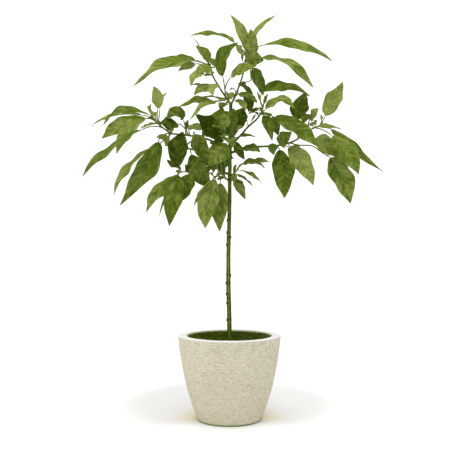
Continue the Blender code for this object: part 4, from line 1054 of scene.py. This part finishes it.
def bent_leaf(base, middle, tip, width, faces_at, draw, light):
    """Copy of a flat leaf on the line through its base, middle and tip, all in cm."""
    length = (tip - base).length
    width = width * BLADE_FULLNESS
    master = small
    if length > SMALL_LEAF:
        master = large if length > LARGE_LEAF else medium
    wave = draw.uniform(0.07, 0.15) * min(1.0, length / 12.0)
    phase = draw.uniform(0.0, math.tau)
    rows = master["rows"]
    places, sides, normals, lifts = [], [], [], []
    for row in range(rows + 1):
        share = row / rows
        near = min(max(share, 0.02), 0.98)
        axis = (bend(base, middle, tip, near + 0.02) - bend(base, middle, tip, near - 0.02))
        axis.normalize()
        normal = faces_at(axis, share)
        places.append(bend(base, middle, tip, share))
        sides.append(normal.cross(axis).normalized())
        normals.append(normal)
        swell = blade_shape(share)
        ruffle = RUFFLE * math.sin(phase * 3.0 + 21.0 * share)
        right_lift = VALLEY / 2.0 + wave * math.sin(phase + 9.0 * share) + ruffle
        left_lift = VALLEY / 2.0 + wave * math.sin(phase + 2.2 + 8.0 * share) - ruffle
        right_notch = NOTCH * math.sin(phase * 5.0 + 13.0 * share)
        left_notch = NOTCH * math.sin(phase * 7.0 + 16.0 * share)
        lifts.append((right_lift * width * swell, left_lift * width * swell, swell,
                      right_notch, left_notch))
    flat = np.empty(len(master.data.vertices) * 3)
    master.data.vertices.foreach_get("co", flat)
    flat = flat.reshape(-1, 3)
    row_of = np.rint(flat[:, 1] * rows).astype(int)
    places, sides, normals, lifts = (np.array(part)[row_of]
                                     for part in (places, sides, normals, lifts))
    right_half = flat[:, 0] > 0.0
    out = np.abs(flat[:, 0]) / np.maximum(lifts[:, 2], 1e-4)
    lift = np.where(right_half, lifts[:, 0], lifts[:, 1]) * out ** 1.35
    notch = np.where(right_half, lifts[:, 3], lifts[:, 4])
    reach = flat[:, 0] * width / 2.0 * (1.0 + notch * out ** 2)
    bent = places + sides * reach[:, None] + normals * lift[:, None]
    blade = bpy.data.objects.new("blade", master.data.copy())
    blade.data.vertices.foreach_set("co", (bent * CENTIMETRE).ravel())
    tone = blade.data.attributes.new(TONE, "FLOAT_COLOR", "POINT")
    colour = (light, draw.random(), draw.random(), 1.0)
    tone.data.foreach_set("color", np.tile(colour, len(flat)))
    scene.collection.objects.link(blade)
    return blade


# %% [markdown]
# ## Stalks and stems
#
# Stems, petioles and midribs are thin round rods that taper. A curve with a thickness at
# each point is the natural way: one curve a shoot holds all of its stems and, for every
# leaf, a rod that starts inside the stem, runs along the petiole and goes on under the
# blade as its raised midrib. Then the curve is made a mesh.

# %% Rods of a shoot
PETIOLE_RADIUS = 0.22


def rod(curve, points, radii):
    """Add one tapering rod to a curve; points in cm, radii in cm."""
    line = curve.splines.new("POLY")
    line.points.add(len(points) - 1)
    for spot, point, radius in zip(line.points, points, radii):
        spot.co = (*(point * CENTIMETRE), 1.0)
        spot.radius = radius * CENTIMETRE


def stalk_line(foot, base, middle, tip, faces_at):
    """Points and radii of a petiole that goes on as the midrib under the blade."""
    first_axis = (bend(base, middle, tip, 0.04) - base).normalized()
    length = (tip - base).length
    stalk = (base - foot).length
    control = base - first_axis * (stalk * 0.45)
    points = [foot - (control - foot).normalized() * 0.12]
    radii = [PETIOLE_RADIUS]
    for share in (0.06, 0.25, 0.45, 0.65, 0.85):
        points.append(foot * (1 - share) ** 2 + control * 2 * share * (1 - share)
                      + base * share ** 2)
        radii.append(PETIOLE_RADIUS * (1.0 - 0.25 * min(1.0, share * 2.0)))
    thick = min(0.11, 0.055 + length * 0.004)
    for share in (0.0, 0.08, 0.18, 0.3, 0.42, 0.54, 0.66, 0.78, 0.9):
        spot = bend(base, middle, tip, share)
        axis = (bend(base, middle, tip, share + 0.03) - spot).normalized()
        radius = thick * (1.0 - 0.85 * share)
        points.append(spot - faces_at(axis, share) * radius * 0.5)
        radii.append(radius)
    return points, radii


# %% [markdown]
# ### Buds
#
# Each stem ends in a pointed bud, and a small one sits above some of the petioles. A bud
# is a ball of few faces whose upper half is drawn out to a point. Like the blades, it
# carries its tone, how light it is, as numbers on its points.

# %% Model one bud
bpy.ops.mesh.primitive_uv_sphere_add(segments=8, ring_count=6, radius=0.5)
bud = added("bud")
for height, narrow in ((0.25, 0.8), (0.43, 0.45)):
    pick(bud, "VERT", lambda v: abs(v.co.z - height) < 0.04)
    bpy.ops.transform.resize(value=(narrow, narrow, 1.0), center_override=(0.0, 0.0, 0.0))
pick(bud, "VERT", lambda v: v.co.z > 0.2)
bpy.ops.transform.translate(value=(0.0, 0.0, 0.35))
pick(bud, "VERT", lambda v: v.co.z > 0.84)
bpy.ops.transform.translate(value=(0.0, 0.0, 0.35))
nothing_selected()


def set_tones(piece, tones):
    """Give a mesh its tone at each point; the finishes read it."""
    layer = piece.data.attributes.new(TONE, "FLOAT_COLOR", "POINT")
    layer.data.foreach_set("color", np.array([(tone, 0.5, 0.5, 1.0) for tone in tones]).ravel())


BUD_TONE = 0.62
set_tones(bud, [BUD_TONE] * len(bud.data.vertices))
bud.hide_render = True


def bud_at(place, direction, long, thick):
    """Matrix that sets a bud at a place in cm, along a direction."""
    turn = direction.to_track_quat("Z", "Y").to_matrix().to_4x4()
    return (Matrix.Translation(place * CENTIMETRE) @ turn
            @ Matrix.Diagonal((thick * CENTIMETRE, thick * CENTIMETRE, long * CENTIMETRE, 1.0)))


# %% [markdown]
# ## Leaves of the two back shoots
#
# The photograph doesn't show the back of the crown. Two shoots fill it by the plant's own
# rule: each leaf stands a golden angle further round its stem than the one before.

# %% Leaves set by the golden angle
BACK_LEAVES = {"shoot_back_high": 9, "shoot_back_low": 9}
# The first and the last leaf stand at these shares of the stem
BACK_FIRST = 0.36
BACK_LAST = 0.98
BACK_TURN = math.radians(137.5)
BACK_LENGTH = 13.0
BACK_WIDTH = 4.2
# These point straight back, because they would fill gaps that the photograph shows
TUCKED = {"shoot_back_high": (1, 6), "shoot_back_low": (1, 4, 6)}


def ruled_leaves(name, route):
    """Foot, base, middle, tip, width and way of facing for each leaf of a back shoot."""
    count = BACK_LEAVES.get(name, 0)
    draw = random.Random(name)
    for number in range(count):
        along = BACK_FIRST + (BACK_LAST - BACK_FIRST) * number / (count - 1)
        whole = along * (len(route) - 1)
        low = min(len(route) - 2, int(whole))
        foot = route[low] + (route[low + 1] - route[low]) * (whole - low)
        turn = number * BACK_TURN + draw.uniform(-0.15, 0.15)
        lean = (0.72 - 0.3 * number / count) * (0.2 if number in TUCKED[name] else 1.0)
        out = Vector((math.sin(turn) * lean, 1.0, math.cos(turn) * lean * 0.75)).normalized()
        length = BACK_LENGTH * draw.uniform(0.85, 1.1)
        width = BACK_WIDTH * draw.uniform(0.85, 1.1)
        own = random.Random()
        own.setstate(draw.getstate())
        draw.random()
        draw.random()
        base = foot + out * 2.4
        middle = base + out * length * 0.5 + Vector((0.0, 0.0, 0.4))
        tip = base + out * length * 0.97 - Vector((0.0, 0.0, 1.6))
        inward = Vector((-math.sin(turn), 0.35, -math.cos(turn)))
        yield (foot, base, middle, tip, width,
               lambda axis, share, inward=inward: (inward - axis * inward.dot(axis)).normalized(),
               own)


def sighted_leaves(name, lines):
    """The same for the leaves that the tables hold."""
    for number, row in enumerate(LEAVES.get(name, ())):
        foot_at, base_at, middle_at, tip_at, base_depth, tip_depth, width, turn, end_turn = row
        base = seen(*base_at, base_depth)
        tip = seen(*tip_at, tip_depth)
        middle = seen(*middle_at, (base_depth + tip_depth) / 2.0)
        right = tip.x > base.x
        yield (nearest_on(lines, *foot_at), base, middle, tip, width,
               lambda axis, share, right=right, turn=turn, end=end_turn:
               facing(axis, right, turn + (end - turn) * share),
               random.Random(f"{name}{number}"))


# %% [markdown]
# ## Young leaves
#
# Where the stems fork, small new leaves and bare stalks stand close together. They are too
# slight for the solid model, so they are set here, by the same kind of table: the foot on
# the stem, the base and the tip of the blade, its depth, its width and its tone.

# %% Young leaves at the forks
YOUNG_LEAVES = {
    "shoot_top_left": (
        ((-0.5, 92.8), (-1.2, 93.2), (-4.2, 94.3), -3.0, 1.1, 6),
        ((0.2, 92.6), (0.0, 93.4), (-1.0, 96.2), -2.0, 0.8, 6),
        ((-4.6, 101.0), (-5.6, 100.9), (-7.6, 100.6), -1.5, 0.9, 5),
        ((-5.6, 103.2), (-6.0, 103.8), (-6.6, 105.0), 0.0, 0.7, 5),
    ),
    "shoot_top_right": (
        ((0.9, 92.8), (1.1, 93.6), (2.8, 96.3), -1.0, 0.9, 5),
        ((2.3, 96.6), (2.7, 97.2), (3.6, 98.9), 0.0, 0.9, 5),
        ((4.4, 104.0), (3.9, 105.0), (3.4, 107.0), 0.0, 0.7, 7),
        ((4.7, 105.0), (5.2, 105.8), (7.6, 106.6), -2.0, 1.0, 6),
    ),
    "shoot_left_upper": (
        ((-18.0, 83.6), (-17.4, 84.0), (-16.2, 84.9), 1.0, 0.9, 5),
        ((-21.5, 87.2), (-22.3, 88.0), (-23.8, 88.5), 0.0, 0.7, 6),
    ),
    "shoot_left_lower": (
        ((-12.2, 79.0), (-12.7, 78.7), (-13.3, 76.4), -1.0, 1.0, 6),
        ((-12.2, 79.2), (-12.6, 80.1), (-11.0, 81.5), -1.0, 0.5, 6),
        ((-13.9, 72.2), (-14.6, 72.5), (-15.9, 72.2), -4.0, 0.9, 6),
        ((-13.9, 72.4), (-14.3, 72.9), (-15.0, 74.2), -4.0, 0.6, 6),
    ),
    "shoot_right_upper": (
        ((9.2, 90.4), (8.7, 90.6), (5.2, 90.2), -5.0, 1.0, 2),
        ((9.0, 89.7), (7.8, 89.4), (6.3, 86.8), -5.5, 0.6, 6),
        ((5.4, 85.9), (5.3, 86.8), (4.1, 89.2), -3.5, 0.5, 5),
        ((9.6, 91.2), (9.0, 93.2), (8.1, 96.2), -5.0, 0.7, 6),
        ((9.8, 91.2), (10.0, 92.6), (11.4, 95.4), -5.5, 0.9, 6),
    ),
    "shoot_low_left": (
        ((-3.2, 71.9), (-3.4, 72.9), (-4.0, 75.2), -3.0, 0.5, 7),
        ((-2.0, 71.5), (-2.1, 72.7), (-2.7, 75.2), -2.5, 0.5, 7),
        ((-1.2, 71.2), (-1.3, 72.6), (-1.4, 75.2), -2.0, 0.5, 6),
        ((-0.8, 70.7), (-1.5, 70.9), (-3.8, 69.9), -3.0, 1.0, 6),
    ),
    "shoot_low_right": (
        ((0.9, 71.4), (1.2, 72.1), (2.0, 74.8), -2.0, 1.0, 6),
    ),
    "shoot_front": (
        ((1.6, 84.6), (2.2, 85.3), (3.9, 86.0), -6.0, 0.7, 5),
    ),
}


def young_leaves(name, lines):
    """The same for the young leaves, each with its tone."""
    for number, row in enumerate(YOUNG_LEAVES.get(name, ())):
        foot_at, base_at, tip_at, depth, width, tone = row
        base = seen(*base_at, depth)
        tip = seen(*tip_at, depth - 1.0)
        middle = (base + tip) / 2.0 + Vector((0.0, 0.0, 0.2))
        right = tip.x > base.x
        yield tone, (nearest_on(lines, *foot_at), base, middle, tip, width,
                     lambda axis, share, right=right: facing(axis, right, 65.0),
                     random.Random(f"{name} young {number}"))


# %% [markdown]
# ## Foliage finishes
#
# A leaf is a mid green with a paler midrib and pale side veins that leave it at a slant
# and curve to the tip. Between the veins the blade bulges a little. Its colour is painted
# darker and lighter between the veins and in patches along them: painted light and shade
# of the blade's bulges and waves. Each leaf has a tone from dark to light, partly its own
# and partly painted shade where it lies in the shade of the crown, and the lighter ones
# have grey-green patches of painted sheen. The underside is paler, more even and matt.
# The veins are drawn on the leaf's own map, so they follow every bend.

# %% Vein pattern
VEIN_PAIRS = 9.0


def vein_pattern(net, own):
    """Shares of midrib, side veins and bulge at a place on the leaf, and patches between."""
    layout = Flow(net, net.nodes.new("ShaderNodeUVMap").outputs[0])
    along, across, _ = parts_of(layout)
    side = across * 2.0 - 1.0
    out = abs(side)
    other_side = side.math("GREATER_THAN", 0.0)
    slant = out * 0.13 + out * out * 0.09
    step = (along - slant) * VEIN_PAIRS + other_side * 0.45 + cloudy(layout, 5.0, 2.0) * 0.5
    from_vein = abs(step.math("FRACT") - 0.5)
    midrib = between(out, along * -0.03 + 0.055, 0.012)
    veins = between(from_vein, 0.13, 0.02) * between(out, 1.0, 0.55)
    slanted = net.nodes.new("ShaderNodeCombineXYZ")
    for socket, value in zip(slanted.inputs, (step, out * 1.8, own * 37.0 + other_side * 5.0)):
        feed(socket, value)
    return midrib, veins, from_vein * 2.0, cloudy(Flow(net, slanted.outputs[0]), 0.8)


def leaf_tone(net):
    """How light the piece is drawn, which on a leaf is its own tone with painted shade, and a
    number that is its own, both from 0 to 1.
    """
    parts = net.nodes.new("ShaderNodeSeparateColor")
    feed(parts.inputs[0], carried(net, TONE, "Color"))
    return Flow(net, parts.outputs[0]), Flow(net, parts.outputs[1])


def green_by_tone(tone, greens):
    """Colour from a row of greens, dark to light."""
    ramp = tone.net.nodes.new("ShaderNodeValToRGB")
    feed(ramp.inputs[0], tone)
    points = ramp.color_ramp.elements
    while len(points) < len(greens):
        points.new(0.5)
    for point, (place, colour) in zip(points, greens):
        point.position = place
        point.color = colour
    return Flow(tone.net, ramp.outputs[0])


# %% Greens
GREENS = ((0.0, paint(41, 54, 6)), (0.45, paint(89, 108, 31)), (1.0, paint(156, 167, 88)))
PALE_GREENS = ((0.0, paint(66, 80, 26)), (0.45, paint(108, 127, 52)), (1.0, paint(158, 170, 94)))
# How much lighter the veins are on a leaf's upper side
PALER = 0.22

# %% Upper side of the leaves
upper_side, shader, place = finish_material("leaf_upper_side", 0.75, 0.01)
tone, own = leaf_tone(place.net)
midrib, veins, bulge, patches = vein_pattern(place.net, own)
# The mottle is partly the leaf's own uneven colour and partly painted shade; the patches along
# the side veins and the bulge between them add painted light and shade of the blade's waves.
mottle = swing(cloudy(place, 42.0, 2.0, 0.5), 0.30) + swing(cloudy(place, 21.0, 2.0, 0.5), 0.24)
uneven_tone = tone + mottle + swing(patches, 1.20) + (bulge - 0.5) * (own * -0.10 - 0.04)
green = green_by_tone(uneven_tone, GREENS)
pale = green_by_tone(uneven_tone + PALER, GREENS)
# Grey-green patches of painted sheen, stronger on lighter leaves.
painted_sheen = between(cloudy(place, 30.0, 2.0), 0.50, 0.68) * tone * 0.5
green = mixed(painted_sheen, green, paint(132, 140, 88))
green = mixed(veins * 0.20, green, pale)
green = mixed(midrib * 0.85, green, pale)
feed(shader.inputs["Base Color"], green)
relief(shader, bulge - midrib * 1.2 + patches * 2.5, 0.0010)

# %% Underside of the leaves
underside, shader, place = finish_material("leaf_underside", 0.85, 0.0)
tone, own = leaf_tone(place.net)
midrib, veins, bulge, patches = vein_pattern(place.net, own)
# The patches along the side veins add painted shade of the blade's waves here too.
uneven_tone = tone + swing(cloudy(place, 40.0, 2.0, 0.5), 0.30) + swing(patches, 0.50)
green = green_by_tone(uneven_tone, PALE_GREENS)
green = mixed(veins * 0.20, green, paint(150, 162, 84))
green = mixed(midrib * 0.45, green, paint(156, 168, 88))
feed(shader.inputs["Base Color"], green)
relief(shader, veins * 0.8 - bulge, 0.0018)

# %% Young stems and petioles
stem_finish, shader, place = finish_material("young_stem", 0.6, 0.0)
tone = leaf_tone(place.net)[0]
streaks = cloudy(place, 260.0)
uneven_tone = tone + swing(streaks, 0.30) - swing(cloudy(place, 25.0, 2.0), 0.60)
feed(shader.inputs["Base Color"], green_by_tone(uneven_tone, GREENS))
relief(shader, streaks, 0.0005)
print("Foliage finishes:", upper_side.name, underside.name, stem_finish.name)

# %% [markdown]
# ## Grow the shoots
#
# Now the pieces meet. For each shoot the rods are laid along its stems, every leaf is bent
# into place, and buds are set at the ends. The blades are joined and given a thickness of
# half a millimetre, and each side gets its own finish, then the rods are joined on. The
# blades of the shoots behind the trunk are drawn from their upper side, the others from
# below, so the order of the two finishes differs.

# %% Steps of one shoot
BLADE_THICKNESS = 0.0005
STEM_TONE = 0.42
PETIOLE_TONE = 0.60
# How much lighter a midrib is than its leaf
MIDRIB_PALER = 0.08
PETIOLE_POINTS = 6
# Length and thickness in cm of the bud that ends a stem and of one above a petiole
END_BUD = (0.62, 0.30)
SIDE_BUD = (0.24, 0.17)


def rod_curve(name):
    """Empty curve whose lines are shown as round rods."""
    curve = bpy.data.curves.new(name, "CURVE")
    curve.dimensions = "3D"
    curve.bevel_depth = 1.0
    curve.bevel_resolution = 1
    curve.use_fill_caps = True
    return curve


def lay_stems(curve, name, lines):
    """Lay a rod along each stem; return the rods' tones and the places of the end buds."""
    tones, buds = [], []
    for line, (_, thick) in zip(lines, STEMS[name]):
        shares = [place / (len(line) - 1) for place in range(len(line))]
        tapers = [1.26 - 0.40 * share + 0.3 * max(0.0, 1.0 - share * 9.0) for share in shares]
        rod(curve, line, [thick * taper for taper in tapers])
        tones += [STEM_TONE] * len(line)
        buds.append(bud_at(line[-1], (line[-1] - line[-2]).normalized(), *END_BUD))
    return tones, buds


def hang_leaves(curve, toned):
    """Bend leaves into place and lay their stalks; return blades, rods' tones and buds."""
    blades, tones, buds = [], [], []
    for light, (foot, base, middle, tip, width, faces_at, draw) in toned:
        light = int(light) / LIGHTEST
        blades.append(bent_leaf(base, middle, tip, width, faces_at, draw, light))
        points, radii = stalk_line(foot, base, middle, tip, faces_at)
        rod(curve, points, radii)
        tones += [PETIOLE_TONE] * PETIOLE_POINTS
        tones += [light + MIDRIB_PALER] * (len(points) - PETIOLE_POINTS)
        if draw.random() < 0.5:
            outward = (base - foot).normalized() + Vector((0.0, 0.0, 0.6))
            buds.append(bud_at(foot + outward * 0.12, outward.normalized(), *SIDE_BUD))
    return blades, tones, buds


def thick_blades(name, blades):
    """Join blades to one mesh and thicken it, with a finish for each of its sides."""
    select_only(*blades)
    bpy.ops.object.join()
    foliage = added(name + "_foliage")
    foliage.data.materials.clear()
    lower_first = (underside, upper_side, stem_finish)
    upper_first = (upper_side, underside, stem_finish)
    for finish in upper_first if name.startswith("shoot_back") else lower_first:
        foliage.data.materials.append(finish)
    thickness = foliage.modifiers.new("thickness", "SOLIDIFY")
    thickness.thickness = BLADE_THICKNESS
    thickness.offset = 0.0
    thickness.material_offset = 1
    thickness.material_offset_rim = 0
    bpy.ops.object.modifier_apply(modifier=thickness.name)
    return foliage


def rods_as_mesh(curve, tones):
    """Mesh of a curve's rods; each of its points takes the tone of the nearest one laid."""
    marks = KDTree(len(tones))
    spots = [spot for line in curve.splines for spot in line.points]
    for number, spot in enumerate(spots):
        marks.insert(spot.co.xyz, number)
    marks.balance()
    rods = bpy.data.objects.new(curve.name, curve)
    scene.collection.objects.link(rods)
    select_only(rods)
    bpy.ops.object.convert(target="MESH")
    rods = bpy.context.object
    set_tones(rods, [tones[marks.find(v.co)[1]] for v in rods.data.vertices])
    return rods


# %% One shoot
SLOTS = {"shoot_top_right": "leaf_light", "shoot_front": "leaf_dark",
         "shoot_back_high": "leaf_dark", "shoot_back_low": "leaf_dark"}


def grown_shoot(name):
    """One leafy shoot as a single piece that stands for its CAD node."""
    lines = [smooth_line([seen(*point) for point in row[0]]) for row in STEMS[name]]
    curve = rod_curve(name + "_rods")
    stem_tones, end_buds = lay_stems(curve, name, lines)
    leaves = list(sighted_leaves(name, lines))
    leaves += list(ruled_leaves(name, [seen(*point) for point in STEMS[name][0][0]]))
    toned = list(zip(LEAF_TONES_WITH_SHADE[name], leaves)) + list(young_leaves(name, lines))
    blades, leaf_tones, side_buds = hang_leaves(curve, toned)
    foliage = thick_blades(name, blades)
    rods = rods_as_mesh(curve, stem_tones + leaf_tones)
    buds = copies(name + "_bud", bud, end_buds + side_buds)
    for part in (rods, *buds):
        part.data.materials.clear()
        part.data.materials.append(stem_finish)
    select_only(foliage, rods, *buds)
    bpy.ops.object.join()
    finish_piece(foliage, 50.0, [name], SLOTS.get(name, "leaf_mid"))
    return foliage


# %% Grow all of them
shoots = [grown_shoot(name) for name in STEMS]
for master in (large, medium, small, bud):
    bpy.data.objects.remove(master)
print("Foliage faces:", sum(len(piece.data.polygons) for piece in shoots))
